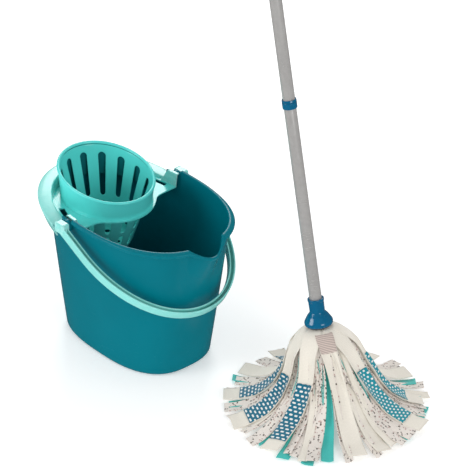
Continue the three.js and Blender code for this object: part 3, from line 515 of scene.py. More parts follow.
@dataclass(frozen=True)
class PlasticFinish:
    """A moulded plastic.

    Attributes:
        name: the material's name.
        slot: the record's material slot; not used.
        base: the plastic's colour.
        rubbed: its colour where an edge is rubbed.
        roughness: how blurred its reflections are.
        gloss: how strong they are.
        coat: the strength of a clear top gloss.
        wear: how strongly edges are rubbed.
        dust: how much dust lies on it.
    """

    name: str
    slot: str
    base: Colour
    rubbed: Colour
    roughness: float
    gloss: float = 0.5
    coat: float = 0.0
    wear: float = 0.4
    dust: float = 0.25

    def build(self, effects: Effects) -> bpy.types.Material:
        """Makes the material."""
        material, sheet, shader = new_material(self.name, self.roughness)
        grain = effects.grain.place(sheet, Scale=1100.0)
        wear = effects.edge_wear.place(sheet, Strength=self.wear)
        scuffs = effects.scuffs.place(sheet, Strength=0.35, Height=0.22)
        dust = effects.dust.place(sheet, Amount=self.dust)
        deep = tuple(channel * 0.86 for channel in self.base[:3]) + (1.0,)
        tone = sheet.blend(sheet.span(grain["Drift"], 0.3, 0.7), deep, self.base)
        tone = sheet.blend(wear["Mask"], tone, self.rubbed)
        tone = sheet.blend(scuffs["Mask"], tone, self.rubbed)
        tone = sheet.blend(sheet.math("MULTIPLY", dust["Mask"], 0.5), tone, colour(214, 212, 204))
        marks = sheet.math("ADD", sheet.math("ADD", wear["Mask"], scuffs["Mask"]), dust["Mask"])
        uneven = sheet.span(grain["Fine"], 0.3, 0.7, self.roughness * 0.86, self.roughness * 1.14)
        sheet.feed(shader.inputs["Base Color"], tone)
        sheet.feed(shader.inputs["Roughness"], sheet.math("MULTIPLY_ADD", marks, 0.3, uneven))
        shader.inputs["Specular IOR Level"].default_value = self.gloss
        shader.inputs["Coat Weight"].default_value = self.coat
        shader.inputs["Coat Roughness"].default_value = 0.08
        bump = sheet.add("Bump", {"Strength": 0.1, "Distance": 0.0004, "Height": grain["Height"]})
        sheet.feed(shader.inputs["Normal"], bump.outputs[0])
        return material


@dataclass(frozen=True)
class MetalFinish:
    """A plated or coated metal.

    Attributes:
        name: the material's name.
        slot: the record's material slot; not used.
        base: its colour.
        metallic: 1 for bare metal, less for a coating that holds metal flake.
        roughness: how blurred its reflections are.
        flake: how strongly the fine flake varies the tone.
    """

    name: str
    slot: str
    base: Colour
    metallic: float
    roughness: float
    flake: float

    def build(self, effects: Effects) -> bpy.types.Material:
        """Makes the material."""
        material, sheet, shader = new_material(self.name, self.roughness)
        grain = effects.grain.place(sheet, Scale=2600.0)
        wear = effects.edge_wear.place(sheet, Strength=0.5)
        scuffs = effects.scuffs.place(sheet, Strength=0.5, Height=1.4)
        dark = tuple(channel * (1 - self.flake) for channel in self.base[:3]) + (1.0,)
        tone = sheet.blend(sheet.span(grain["Fine"], 0.35, 0.65), dark, self.base)
        tone = sheet.blend(wear["Mask"], tone, colour(226, 226, 224))
        tone = sheet.blend(sheet.math("MULTIPLY", scuffs["Mask"], 0.6), tone, colour(120, 118, 116))
        rough = sheet.span(grain["Drift"], 0.3, 0.7, self.roughness * 0.88, self.roughness * 1.12)
        sheet.feed(shader.inputs["Base Color"], tone)
        sheet.feed(shader.inputs["Roughness"], sheet.math("MULTIPLY_ADD", scuffs["Mask"], 0.25, rough))
        shader.inputs["Metallic"].default_value = self.metallic
        bump = sheet.add("Bump", {"Strength": 0.08, "Distance": 0.0002, "Height": grain["Height"]})
        sheet.feed(shader.inputs["Normal"], bump.outputs[0])
        return material


class Print(Enum):
    """What is printed or felted into a cloth."""

    NONE = "none"
    SPECKS = "specks"
    BLOCKS = "blocks"
    DOTS = "dots"
    HATCH = "hatch"


@dataclass(frozen=True)
class ClothFinish:
    """A nonwoven cloth.

    Attributes:
        name: the material's name.
        slot: the record's material slot; not used.
        base: the cloth's colour.
        ink: the colour of what is printed on it.
        second_ink: the colour of every third speck.
        pattern: what is printed.
        hollow_shade: how much painted shade darkens the cloth in the bonding dimples and where its fibres lie
            low.
    """

    name: str
    slot: str
    base: Colour
    ink: Colour
    second_ink: Colour
    pattern: Print
    hollow_shade: float = 0.16

    def build(self, effects: Effects) -> bpy.types.Material:
        """Makes the material."""
        material, sheet, shader = new_material(self.name, 0.9)
        fibres = effects.fibres.place(sheet)
        ground = self.base
        height = fibres["Height"]
        if self.pattern is Print.SPECKS:
            specks = effects.specks.place(sheet, Scale=250.0, Share=0.44)
            every_third = sheet.math("GREATER_THAN", specks["Number"], 0.62)
            ink = sheet.blend(every_third, self.ink, self.second_ink)
            ground = sheet.blend(specks["Mask"], ground, ink)
        if self.pattern in (Print.BLOCKS, Print.DOTS):
            dots = {"Row_Pitch": 0.0058, "Column_Pitch": 0.0096, "Block_Length": 0.46, "Block_Width": 0.58}
            blocks = effects.blocks.place(sheet, **(dots if self.pattern is Print.DOTS else {}))
            ground = sheet.blend(blocks["Mask"], ground, self.ink)
            height = sheet.math("MULTIPLY_ADD", blocks["Mask"], -1.6, height)
        if self.pattern is Print.HATCH:
            hatch = effects.hatch.place(sheet)
            ground = sheet.blend(hatch["Mask"], ground, self.ink)
        # Painted shade: the fibre tone darkens the cloth in its hollows.
        shade = tuple(1 - self.hollow_shade for _ in range(3)) + (1.0,)
        tint = sheet.blend(fibres["Tone"], shade, (1.0, 1.0, 1.0, 1.0))
        sheet.feed(shader.inputs["Base Color"], sheet.blend(1.0, ground, tint, "MULTIPLY"))
        sheet.feed(shader.inputs["Roughness"], sheet.span(fibres["Tone"], 0.0, 1.0, 0.96, 0.82))
        shader.inputs["Sheen Weight"].default_value = 0.25
        shader.inputs["Sheen Roughness"].default_value = 0.5
        bump = sheet.add("Bump", {"Strength": 0.5, "Distance": 0.0006, "Height": height})
        sheet.feed(shader.inputs["Normal"], bump.outputs[0])
        return material


def new_material(name: str, roughness: float) -> tuple[bpy.types.Material, NodeSheet, bpy.types.Node]:
    """Makes a material.

    Args:
        name: its name.
        roughness: how blurred its reflections are.

    Returns:
        The material, its sheet and its Principled shader.
    """
    material = bpy.data.materials.new(name)
    material.use_nodes = True
    shader = material.node_tree.nodes["Principled BSDF"]
    shader.inputs["Roughness"].default_value = roughness
    return material, NodeSheet(material.node_tree), shader


WHITE = colour(246, 246, 242)


class Finish(Enum):
    """Every finish of the object."""

    BUCKET = PlasticFinish(
        "teal_bucket_plastic", "bucket_plastic", colour(0, 117, 132), colour(10, 130, 144),
        roughness=0.24, gloss=0.12, wear=0.25, dust=0.06,
    )
    MINT = PlasticFinish(
        "moulded_mint_plastic", "mint_plastic", colour(92, 226, 221), colour(150, 234, 228),
        roughness=0.2, gloss=0.4, coat=0.1, wear=0.12, dust=0.06,
    )
    # Painted light: a paler, lit copy of the mint plastic, worn by the wringer's band and the bail.
    MINT_PAINTED_LIGHT = PlasticFinish(
        "lit_copy_mint_plastic", "mint_plastic", colour(142, 228, 221), colour(196, 240, 236),
        roughness=0.2, coat=0.1, dust=0.06,
    )
    # Painted shade: a dark copy of the mint plastic, laid on the collar's inner wall so that the slots look
    # dark.
    MINT_PAINTED_SHADE = PlasticFinish(
        "shaded_copy_mint_plastic", "mint_plastic", colour(0, 98, 104), colour(0, 98, 104),
        roughness=0.5, gloss=0.2, dust=0.0,
    )
    SOCKET = PlasticFinish(
        "blue_socket_plastic", "blue_plastic", colour(0, 96, 134), colour(0, 110, 146),
        roughness=0.14, coat=0.4, wear=0.15, dust=0.05,
    )
    DARK = PlasticFinish(
        "dark_inner_plastic", "dark_plastic", colour(48, 58, 64), colour(110, 118, 122), roughness=0.55
    )
    TUBE = MetalFinish("coated_handle_tube", "coated_tube", colour(194, 192, 190), 0.4, 0.26, 0.1)
    STEEL = MetalFinish("zinc_screw_steel", "zinc_steel", colour(190, 194, 198), 1.0, 0.3, 0.1)
    CREAM = ClothFinish("cream_cloth", "cream_strip", colour(238, 232, 220), WHITE, WHITE, Print.NONE)
    SPECKLED = ClothFinish(
        "speckled_cloth", "speckled_strip", colour(236, 228, 220), colour(84, 72, 64), colour(190, 158, 150),
        Print.SPECKS,
    )
    MINTED = ClothFinish("mint_cloth", "mint_strip", colour(66, 196, 188), WHITE, WHITE, Print.NONE, 0.24)
    SCRUB = ClothFinish(
        "scrub_patch_cloth", "cream_strip", colour(0, 112, 140), WHITE, WHITE, Print.BLOCKS, 0.3
    )
    SPOTTED = ClothFinish(
        "spotted_patch_cloth", "cream_strip", colour(0, 150, 166), WHITE, WHITE, Print.DOTS, 0.3
    )
    LABEL = ClothFinish(
        "hatched_tab_cloth", "cream_strip", colour(214, 198, 190), colour(180, 164, 156), WHITE, Print.HATCH
    )


class Wardrobe:
    """Makes each finish once and dresses pieces in it."""

    def __init__(self) -> None:
        """Builds every material."""
        effects = Effects()
        self.materials = {finish: finish.value.build(effects) for finish in Finish}

    def dress(self, piece: bpy.types.Object, finish: Finish) -> bpy.types.Object:
        """Gives a piece its finish.

        Args:
            piece: the piece.
            finish: what it is made of.

        Returns:
            The same piece.
        """
        piece.data.materials.clear()
        piece.data.materials.append(self.materials[finish])
        return piece

    def put(self, piece: bpy.types.Object, finish: Finish, body: str, *nodes: str) -> bpy.types.Object:
        """Dresses a piece, sets it on its body and lets it stand for CAD nodes.

        Args:
            piece: the piece.
            finish: its finish.
            body: the body that it moves with.
            nodes: the CAD nodes that it stands for.

        Returns:
            The piece.
        """
        self.dress(piece, finish)
        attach(piece, body)
        if nodes:
            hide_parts(*nodes)
        LOG.info("%s: %d faces, on %s", piece.name, len(piece.data.polygons), body)
        return piece


# ---------------------------------------------------------------- bucket


@dataclass
class Bucket:
    """The oval bucket with its spout, rolled lip and pivot lugs.

    Attributes:
        height: from the floor to the front rim.
        rim_length: half of the rim's length.
        rim_width: half of the rim's width.
        rim_power: how square the rim's oval is.
        base_length: half of the base's length.
        base_width: half of the base's width.
        base_power: how square the base's oval is.
        wall: thickness of the wall.
        fillet: radius at the foot of the wall.
        lip_side: how far the lip stands out along the sides.
        lip_front: how far it stands out round the spout end.
        lip_rear: the bead along the rear rim.
        lip_spout: how far the lip stands out along the spout's edge.
        lip_depth: height of the lip's skirt.
        lip_slope: how far the lip's top falls to its outer edge, as a share of its reach.
        spout_width: half of the spout's width.
        spout_reach: how far the spout bulges out.
        spout_drop: how far its edge dips.
        spout_fade: height over which the bulge runs into the wall.
        step_x: where the front rim ends.
        lug_rear_x: where the shoulder over the lugs ends.
        shoulder_drop: the shoulder, below the front rim.
        rear_drop: the rear rim beside the shoulder, below the front rim.
        rear_rise: how far the rear rim climbs to the back.
        band_clear: how far the wringer's band stands above the rear rim.
        lug_radius: radius of the pivot lugs.
        lug_reach: Y of their outer faces.
        lug_bore: radius of the hole that a peg of the bail turns in.
        pivot: X and Z of their axis.
    """

    height: float = 0.289
    rim_length: float = 0.189
    rim_width: float = 0.131
    rim_power: float = 2.29
    base_length: float = 0.145
    base_width: float = 0.099
    base_power: float = 2.72
    wall: float = 0.0026
    fillet: float = 0.009
    lip_side: float = 0.0046
    lip_front: float = 0.009
    lip_rear: float = 0.0012
    lip_spout: float = 0.003
    lip_depth: float = 0.008
    lip_slope: float = 0.36
    spout_width: float = 0.040
    spout_reach: float = 0.023
    spout_drop: float = 0.018
    spout_fade: float = 0.120
    step_x: float = -0.030
    lug_rear_x: float = -0.064
    shoulder_drop: float = 0.009
    rear_drop: float = 0.0288
    rear_rise: float = 0.018
    band_clear: float = 0.0028
    lug_radius: float = 0.0118
    lug_reach: float = 0.1346
    lug_bore: float = 0.0054
    pivot: tuple[float, float] = (-0.044, 0.271)

    def wall_point(self, turn: Any, z: Any, inset: Any = 0.0) -> tuple[Any, Any]:
        """Places on the outer wall.

        Args:
            turn: the places round the wall, in radians.
            z: their heights.
            inset: how far inside the wall they lie.

        Returns:
            Their X and Y.
        """
        share = z / self.height
        length = lerp(self.base_length, self.rim_length, share) - inset
        width = lerp(self.base_width, self.rim_width, share) - inset
        x, y = oval(length, width, lerp(self.base_power, self.rim_power, share), turn)
        fade = smoothstep(z, self.height - self.spout_fade, self.height)
        bulge = self.spout_share(turn) ** (1 + 2 * (1 - fade))
        return x + self.spout_reach * bulge * fade, y

    def spout_share(self, turn: Any) -> Any:
        """Measures how much of the spout is at a turn.

        Args:
            turn: an angle, or an array of them.

        Returns:
            1 in the middle of the spout, falling to 0 at its two corners.
        """
        x, y = oval(self.rim_length, self.rim_width, self.rim_power, turn)
        inside = (x > 0) & (np.abs(y) < self.spout_width)
        across = np.clip(np.abs(y) / self.spout_width, 0, 1)
        return np.where(inside, np.clip(np.cos(across * math.pi / 2), 0, 1) ** 0.9, 0.0)

    def turn_at(self, x: float) -> float:
        """Returns the turn at which the rim reaches an X."""
        share = (abs(x) / self.rim_length) ** (self.rim_power / 2)
        return math.pi - math.acos(share) if x < 0 else math.acos(share)

    def rim_x(self, turn: Any) -> Any:
        """Returns the X of the plain rim at a turn."""
        return oval(self.rim_length, self.rim_width, self.rim_power, turn)[0]

    def band_height(self, x: Any) -> Any:
        """Returns the height of the wringer's band over the rear rim at an X."""
        climb = (self.lug_rear_x - x) / (self.lug_rear_x + self.rim_length)
        return self.height - self.rear_drop + self.band_clear + self.rear_rise * climb

    def rim_height(self, turn: Any) -> Any:
        """Measures the rim.

        Args:
            turn: an angle, or an array of them.

        Returns:
            Its height there: that of the front edge, the shoulder or the rear edge.
        """
        x = self.rim_x(turn)
        front = self.height - self.spout_drop * self.spout_share(turn)
        shoulder = self.height - self.shoulder_drop
        rear = self.band_height(x) - self.band_clear
        height = lerp(shoulder, front, smoothstep(x, self.step_x - 0.0025, self.step_x + 0.0015))
        return lerp(rear, height, smoothstep(x, self.lug_rear_x - 0.002, self.lug_rear_x + 0.001))

    def lip_reach(self, turn: Any) -> Any:
        """Measures the lip.

        Args:
            turn: an angle, or an array of them.

        Returns:
            How far it stands out there.
        """
        front = smoothstep(np.cos(turn), 0.2, 0.8)
        broad = lerp(self.lip_side, self.lip_front, front)
        broad = lerp(broad, self.lip_spout, np.clip(self.spout_share(turn) * 2, 0, 1))
        past_step = smoothstep(self.rim_x(turn), self.step_x - 0.001, self.step_x + 0.003)
        return lerp(self.lip_rear, broad, past_step)

    def turns(self) -> np.ndarray:
        """Returns the columns round the wall, closer together at the steps in the rim."""
        step, lug = self.turn_at(self.step_x), self.turn_at(self.lug_rear_x)
        fine = 0.024
        half = np.concatenate([
            np.linspace(0, step - fine, 150, endpoint=False),
            np.linspace(step - fine, step + fine, 16, endpoint=False),
            np.linspace(step + fine, lug - fine, 14, endpoint=False),
            np.linspace(lug - fine, lug + fine, 16, endpoint=False),
            np.linspace(lug + fine, math.pi, 90, endpoint=False),
        ])
        return np.concatenate([half, [math.pi], -half[:0:-1]])

    def ring(self, turns: np.ndarray, offset: Any, z: Any) -> np.ndarray:
        """Lays one ring around the wall.

        Args:
            turns: the angles of its places.
            offset: how far outward of the wall it lies.
            z: its height.

        Returns:
            The places, one a row.
        """
        height = np.broadcast_to(np.asarray(z, float), turns.shape)
        x, y = self.wall_point(turns, height, -np.asarray(offset, float))
        return np.column_stack([x, y, height])

    def shell_rows(self) -> np.ndarray:
        """Returns the rings from the middle of the underside, over the lip and down to the inner floor."""
        turns = self.turns()
        rim, reach = self.rim_height(turns), self.lip_reach(turns)
        rows = []
        for inset, z in ((0.09, 0.0018), (0.034, 0.0018), (0.024, 0.0016), (0.021, 0.0), (self.fillet, 0.0)):
            rows.append(self.ring(turns, -inset, z))
        for step in range(1, 6):
            angle = step / 6 * math.pi / 2
            inset = self.fillet * (1 - math.sin(angle))
            rows.append(self.ring(turns, -inset, self.fillet * (1 - math.cos(angle))))
        for share in np.linspace(0, 1, 26):
            rows.append(self.ring(turns, 0.0, lerp(self.fillet, rim - self.lip_depth - 0.001, share)))
        edge, skirt = 0.0012, np.minimum(0.0016, reach * 0.8)
        fall = self.lip_slope * reach
        lip = [
            (0.0, rim - 0.0042 - fall * 0.6),
            (edge * 0.3 * np.minimum(reach / edge, 1), rim - 0.0034 - fall * 0.6),
            (np.maximum(reach - skirt - edge, 0.0001), rim - 0.0030 - fall * 0.9),
            (reach - skirt, rim - 0.0040 - fall),
            (reach - skirt, rim - self.lip_depth + edge * 0.4),
            (reach - skirt * 0.7, rim - self.lip_depth),
            (reach - skirt * 0.3, rim - self.lip_depth),
            (reach, rim - self.lip_depth + edge * 0.4),
            (reach, rim - 0.0024 - fall),
            (reach - 0.0003, rim - 0.0012 - fall),
            (reach - 0.0010, rim - 0.0003 - fall * 0.9),
            (np.minimum(reach - 0.0020, reach * 0.6), rim - fall * 0.6),
            (np.minimum(reach - 0.0024, reach * 0.25), rim - fall * 0.18),
            (np.full_like(reach, -self.wall + 0.0016), rim),
            (np.full_like(reach, -self.wall + 0.0007), rim - 0.0003),
            (np.full_like(reach, -self.wall + 0.0001), rim - 0.0010),
        ]
        for offset, z in lip:
            rows.append(self.ring(turns, np.maximum(offset, -self.wall), z))
        inner = self.wall + self.fillet
        for share in np.linspace(0.995, 0, 24):
            rows.append(self.ring(turns, -self.wall, lerp(inner + 0.001, rim - 0.002, share)))
        for step in range(1, 7):
            angle = step / 6 * math.pi / 2
            inset = self.wall + self.fillet * (1 - math.cos(angle))
            rows.append(self.ring(turns, -inset, 0.0032 + self.fillet * (1 - math.sin(angle))))
        rows.append(self.ring(turns, -0.06, 0.0032))
        return np.array(rows)

    def build(self, wardrobe: Wardrobe) -> None:
        """Makes the shell with its lugs."""
        draft = MeshDraft()
        draft.add_rows(self.shell_rows(), capped=True)
        inner = float(self.wall_point(math.pi / 2, self.pivot[1])[1]) - self.wall * 0.5
        for side in (-1, 1):
            outline = rounded([
                (self.lug_bore, inner, 0), (self.lug_radius, inner, 0),
                (self.lug_radius, self.lug_reach, 0.0012), (self.lug_bore, self.lug_reach, 0.0006),
            ])
            place = Matrix.Translation((self.pivot[0], 0, self.pivot[1]))
            place = place @ Matrix.Rotation(-side * math.pi / 2, 4, "X")
            draft.add_turned(outline, place, 64)
        wardrobe.put(draft.build("oval_bucket"), Finish.BUCKET, "bucket", "bucket_shell")


# ---------------------------------------------------------------- wringer


@dataclass
class Wringer:
    """The lift-out insert: a band over the rear wall, a shelf, and a slotted press basket.

    Attributes:
        bucket: the bucket that it hangs in.
        wall: thickness of the moulding.
        overhang: how far the band stands out from the bucket's wall.
        inset: how far inside the outer wall the band's inner edge is.
        skirt_depth: height of the band's skirt.
        skirt_slant: how far the skirt slants in.
        shelf_top: height of the shelf.
        shelf_thick: thickness of the shelf.
        rim_middle: X and Z of the middle of the basket's rim.
        half_length: half of the rim's length.
        half_width: half of the rim's width.
        tilt: how far the rim leans to the front.
        depth: depth of the basket.
        rake: how far back the foot's middle is from the rim's.
        foot_radius: radius of the basket's foot.
        slots: how many slots there are round the basket.
    """

    bucket: Bucket
    wall: float = 0.0024
    overhang: float = 0.020
    inset: float = 0.006
    skirt_depth: float = 0.027
    skirt_slant: float = 0.007
    shelf_top: float = 0.260
    shelf_thick: float = 0.0026
    rim_middle: tuple[float, float] = (-0.0893, 0.3114)
    half_length: float = 0.0964
    half_width: float = 0.0839
    tilt: float = math.radians(8.6)
    depth: float = 0.1484
    rake: float = 0.0057
    foot_radius: float = 0.050
    slots: int = 14

    def basket_point(self, turn: Any, drop: Any, inset: Any = 0.0) -> np.ndarray:
        """Places on the basket's outer face.

        Args:
            turn: the places round the basket, in radians.
            drop: how far below the rim's middle they lie.
            inset: how far inside the face.

        Returns:
            Their places, as rows of (x, y, z).
        """
        share = drop / self.depth
        length = lerp(self.half_length, self.foot_radius, share) - inset
        width = lerp(self.half_width, self.foot_radius, share) - inset
        tilt = self.tilt * (1 - share)
        flat_x, flat_y = oval(length, width, 2, turn)
        x = self.rim_middle[0] - self.rake * share + flat_x * np.cos(tilt)
        return np.stack(np.broadcast_arrays(x, flat_y, self.rim_middle[1] - drop - flat_x * np.sin(tilt)), -1)

    def rim_drop(self, turn: Any) -> Any:
        """Returns how far the rim at a turn lies below its middle."""
        return self.half_length * np.cos(turn) * math.sin(self.tilt)

    def slot_patch(self, draft: MeshDraft, turns: tuple[float, float], drops: tuple[float, float],
                   hole: tuple[float, float, float, float]) -> None:
        """Adds a piece of the basket's wall with one round-ended hole in it.

        Args:
            draft: where it is added.
            turns: the turns at its two sides.
            drops: how far below the rim's middle it starts and ends.
            hole: share of the way down of the hole's top and foot, and its half widths there, as turns.
        """
        sides, ends, rings = 22, 8, 5
        middle, half = (turns[0] + turns[1]) / 2, (turns[1] - turns[0]) / 2
        frame_points, hole_points = [], []
        top, foot, top_half, foot_half = hole
        for at in range(ends):
            frame_points.append((lerp(-1, 1, at / ends), 0.0))
        for at in range(sides):
            frame_points.append((1.0, at / sides))
        for at in range(ends):
            frame_points.append((lerp(1, -1, at / ends), 1.0))
        for at in range(sides):
            frame_points.append((-1.0, 1 - at / sides))
        span = drops[1] - drops[0]
        half_way, nudge = lerp(*drops, 0.5), 0.01
        across = self.basket_point(middle + nudge, half_way) - self.basket_point(middle - nudge, half_way)
        scale = float(np.linalg.norm(across)) / (2 * nudge)
        for side, down in frame_points:
            upper = math.sin(math.atan2((down - (top + foot) / 2) * 2, side * 0.5)) < 0
            half_turn, centre = (top_half, top) if upper else (foot_half, foot)
            radius = half_turn * scale / span
            wide = lerp(top_half, foot_half, np.clip((down - top) / (foot - top), 0, 1))
            if top + radius < down < foot - radius and abs(side) == 1.0:
                hole_points.append((math.copysign(wide, side), down))
            else:
                lean = math.asin(side)
                if abs(side) == 1.0:
                    near = np.clip((down - centre) / radius if upper else (centre - down) / radius, 0, 1)
                    lean = math.copysign(math.pi / 2 - (1 - near) * 0.5, side)
                base = top + radius if upper else foot - radius
                rise = radius * math.cos(lean)
                hole_points.append((half_turn * math.sin(lean), base - rise if upper else base + rise))
        outer = np.array([(middle + half * side, down) for side, down in frame_points])
        inner = np.array([(middle + side, down) for side, down in hole_points])
        rows = []
        for share in np.linspace(0, 1, rings) ** 0.8:
            mixed = lerp(inner, outer, share)
            rows.append(self.basket_point(mixed[:, 0], lerp(*drops, mixed[:, 1])))
        draft.add_rows(np.array(rows))

    def sieve(self) -> bpy.types.Object:
        """Returns the slotted wall and foot of the basket."""
        draft = MeshDraft()
        pitch = TAU / self.slots
        top, split, foot = 0.006, 0.099, 0.1444
        long_slot, short_slot = (0.021, 0.094), (0.104, 0.138)
        long_turns, short_turns = (0.0075 / 0.083, 0.005 / 0.068), (0.0045 / 0.058, 0.0045 / 0.053)
        for at in range(self.slots):
            turns = (at * pitch, (at + 1) * pitch)
            slot_top = long_slot[0] + 0.2 * float(self.rim_drop(sum(turns) / 2))
            long_hole = ((slot_top - top) / (split - top), (long_slot[1] - top) / (split - top))
            self.slot_patch(draft, turns, (top, split), (*long_hole, *long_turns))
            short_hole = tuple((drop - split) / (foot - split) for drop in short_slot)
            self.slot_patch(draft, turns, (split, foot), (*short_hole, *short_turns))
        self.add_foot(draft, foot)
        sieve = draft.build("slotted_basket", sharp=50)
        thick = sieve.modifiers.new("wall", "SOLIDIFY")
        thick.thickness, thick.offset, thick.use_even_offset = 0.0022, -1.0, True
        soft = sieve.modifiers.new("soft_edges", "BEVEL")
        soft.width, soft.segments, soft.limit_method, soft.angle_limit = 0.0005, 2, "ANGLE", math.radians(55)
        return applied(sieve)

    def add_foot(self, draft: MeshDraft, drop: float) -> None:
        """Adds the basket's round foot with its drain holes, below a drop."""
        turns = np.arange(self.slots * 8) * TAU / (self.slots * 8)
        rows = []
        for step in range(7):
            angle = step / 6 * math.pi / 2
            inset = 0.004 * (1 - math.cos(angle))
            rows.append(self.basket_point(turns, drop + (self.depth - drop) * math.sin(angle), inset))
        draft.add_rows(np.array(rows))
        hub, inner, outer, hole_radius, holes = 0.003, 0.014, 0.038, 0.0055, 7
        edge = rows[-1]
        inward = lerp(self.foot_point(turns, outer), edge, np.linspace(0, 1, 4)[:, None, None])
        draft.add_rows(inward)
        draft.add_rows(self.foot_point(turns[None, :], np.linspace(hub, inner, 4)[:, None]))
        each = len(turns) // holes
        for at in range(holes):
            low = turns[at * each]
            high = low + each * TAU / len(turns)
            outline = np.concatenate([
                arc_places(low, high, inner, each), spoke_places(high, inner, outer),
                arc_places(high, low, outer, each), spoke_places(low, outer, inner),
            ])
            around = self.foot_point(outline[:, 0], outline[:, 1])
            centre = self.foot_point((low + high) / 2, (inner + outer) / 2)
            away = around - centre
            hole = centre + away / np.linalg.norm(away, axis=1)[:, None] * hole_radius
            draft.add_rows(lerp(hole, around, np.linspace(0, 1, 5)[:, None, None]))

    def foot_point(self, turn: Any, radius: Any) -> np.ndarray:
        """Finds places on the basket's flat foot.

        Args:
            turn: an angle, or an array of them.
            radius: the distance from the foot's middle.

        Returns:
            The places, along the last axis.
        """
        x = self.rim_middle[0] - self.rake + radius * np.cos(turn)
        places = (x, radius * np.sin(turn), self.rim_middle[1] - self.depth)
        return np.stack(np.broadcast_arrays(*places), -1)

    def collar_foot(self, turns: np.ndarray, inset: float, z: float) -> np.ndarray:
        """Returns a ring of the collar where it stands on the shelf."""
        x, y = oval(self.half_length - 0.005 - inset, self.half_width - 0.005 - inset, 2, turns)
        return np.column_stack([self.rim_middle[0] + 0.001 + x, y, np.full(len(turns), z)])

    def add_collar(self, draft: MeshDraft) -> None:
        """Adds the wall from the basket's rim to the shelf, with its rounded bead."""
        turns = np.linspace(0, TAU, 224, endpoint=False)

        def rim(inset: float, drop: float) -> np.ndarray:
            """Returns the basket's rim, moved in by inset and down by drop."""
            ring = self.basket_point(turns, 0.0, inset)
            ring[:, 2] -= drop
            return ring

        foot_z = self.shelf_top - self.shelf_thick
        outer_high, outer_low = rim(0.0004, 0.0052), self.collar_foot(turns, 0.0, self.shelf_top + 0.003)
        inner_low, inner_high = self.collar_foot(turns, self.wall, foot_z), rim(0.0030, 0.0052)
        rows = [rim(-0.0014 + 0.0030 * (1 - math.cos(a)), 0.0030 - 0.0030 * math.sin(a))
                for a in np.linspace(math.pi, -0.3, 14)]
        rows += [lerp(outer_high, outer_low, share) for share in np.linspace(0, 1, 8)]
        rows += [self.collar_foot(turns, -0.0012, self.shelf_top), self.collar_foot(turns, -0.0012, foot_z)]
        rows += [lerp(inner_low, inner_high, share) for share in np.linspace(0, 1, 8)]
        draft.add_rows(np.array(rows), looped=True)

    def paint_inner_shade(self, ring: bpy.types.Object, wardrobe: Wardrobe) -> None:
        """Paints shade on the collar's inner wall, which lies behind the slots, with a dark copy of the mint
        plastic.

        Args:
            ring: the collar.
            wardrobe: the finishes.
        """
        # Painted shade: the inward-facing faces below the bead take the dark copy of the mint plastic.
        ring.data.materials.append(wardrobe.materials[Finish.MINT_PAINTED_SHADE])
        bead = 0.008
        for face in ring.data.polygons:
            outward = Vector((face.center.x - self.rim_middle[0], face.center.y, 0.0))
            rim = self.rim_middle[1] - outward.x * math.tan(self.tilt)
            if face.normal.dot(outward) < 0 and face.center.z < rim - bead:
                face.material_index = 1

    def sweep(self, draft: MeshDraft, turns: np.ndarray, section: Callable[[float], Outline]) -> None:
        """Adds a section carried round a stretch of the bucket's wall.

        Args:
            draft: where it is added.
            turns: the stretch.
            section: the (offset, height) outline at the rim's X.
        """
        rows = []
        for turn in turns:
            outline = np.array(section(float(self.bucket.rim_x(turn))))
            x, y = self.bucket.wall_point(np.full(len(outline), turn), outline[:, 1], -outline[:, 0])
            rows.append(np.column_stack([x, y, outline[:, 1]]))
        draft.add_rows(np.array(rows), capped=True)

    def band_section(self, x: float) -> Outline:
        """Draws the broad band over the rear wall.

        Args:
            x: where it is cut.

        Returns:
            Its outline as (outward, height) pairs.
        """
        top = float(self.bucket.band_height(x))
        inner, outer, foot = -self.inset, self.overhang, top - self.skirt_depth
        below = self.shelf_top - self.shelf_thick
        return rounded([
            (inner, below, 0), (inner, top, 0.0022), (outer, top, 0.0034),
            (outer - self.skirt_slant, foot, 0.0008), (outer - self.skirt_slant - self.wall, foot, 0.0008),
            (outer - self.wall - 0.0006, top - self.wall, 0.0018),
            (inner + self.wall, top - self.wall, 0.001),
            (inner + self.wall, below, 0),
        ])

    def cheek_section(self, x: float) -> Outline:
        """Draws the narrow wall beside a pivot lug.

        Args:
            x: where it is cut.

        Returns:
            Its outline as (outward, height) pairs.
        """
        rise = float(smoothstep(x, self.bucket.lug_rear_x - 0.006, self.bucket.lug_rear_x + 0.010))
        low = self.bucket.height - self.bucket.rear_drop + self.bucket.band_clear
        top = lerp(low, self.bucket.height - self.bucket.shoulder_drop + 0.005, rise)
        inner, outer = -self.inset - 0.005, -self.bucket.wall - 0.0016
        below = self.shelf_top - self.shelf_thick
        return rounded([
            (inner, below, 0), (inner, top, 0.0014), (outer, top, 0.0010), (outer, top - self.wall, 0.0008),
            (inner + self.wall, top - self.wall, 0.001), (inner + self.wall, below, 0),
        ])

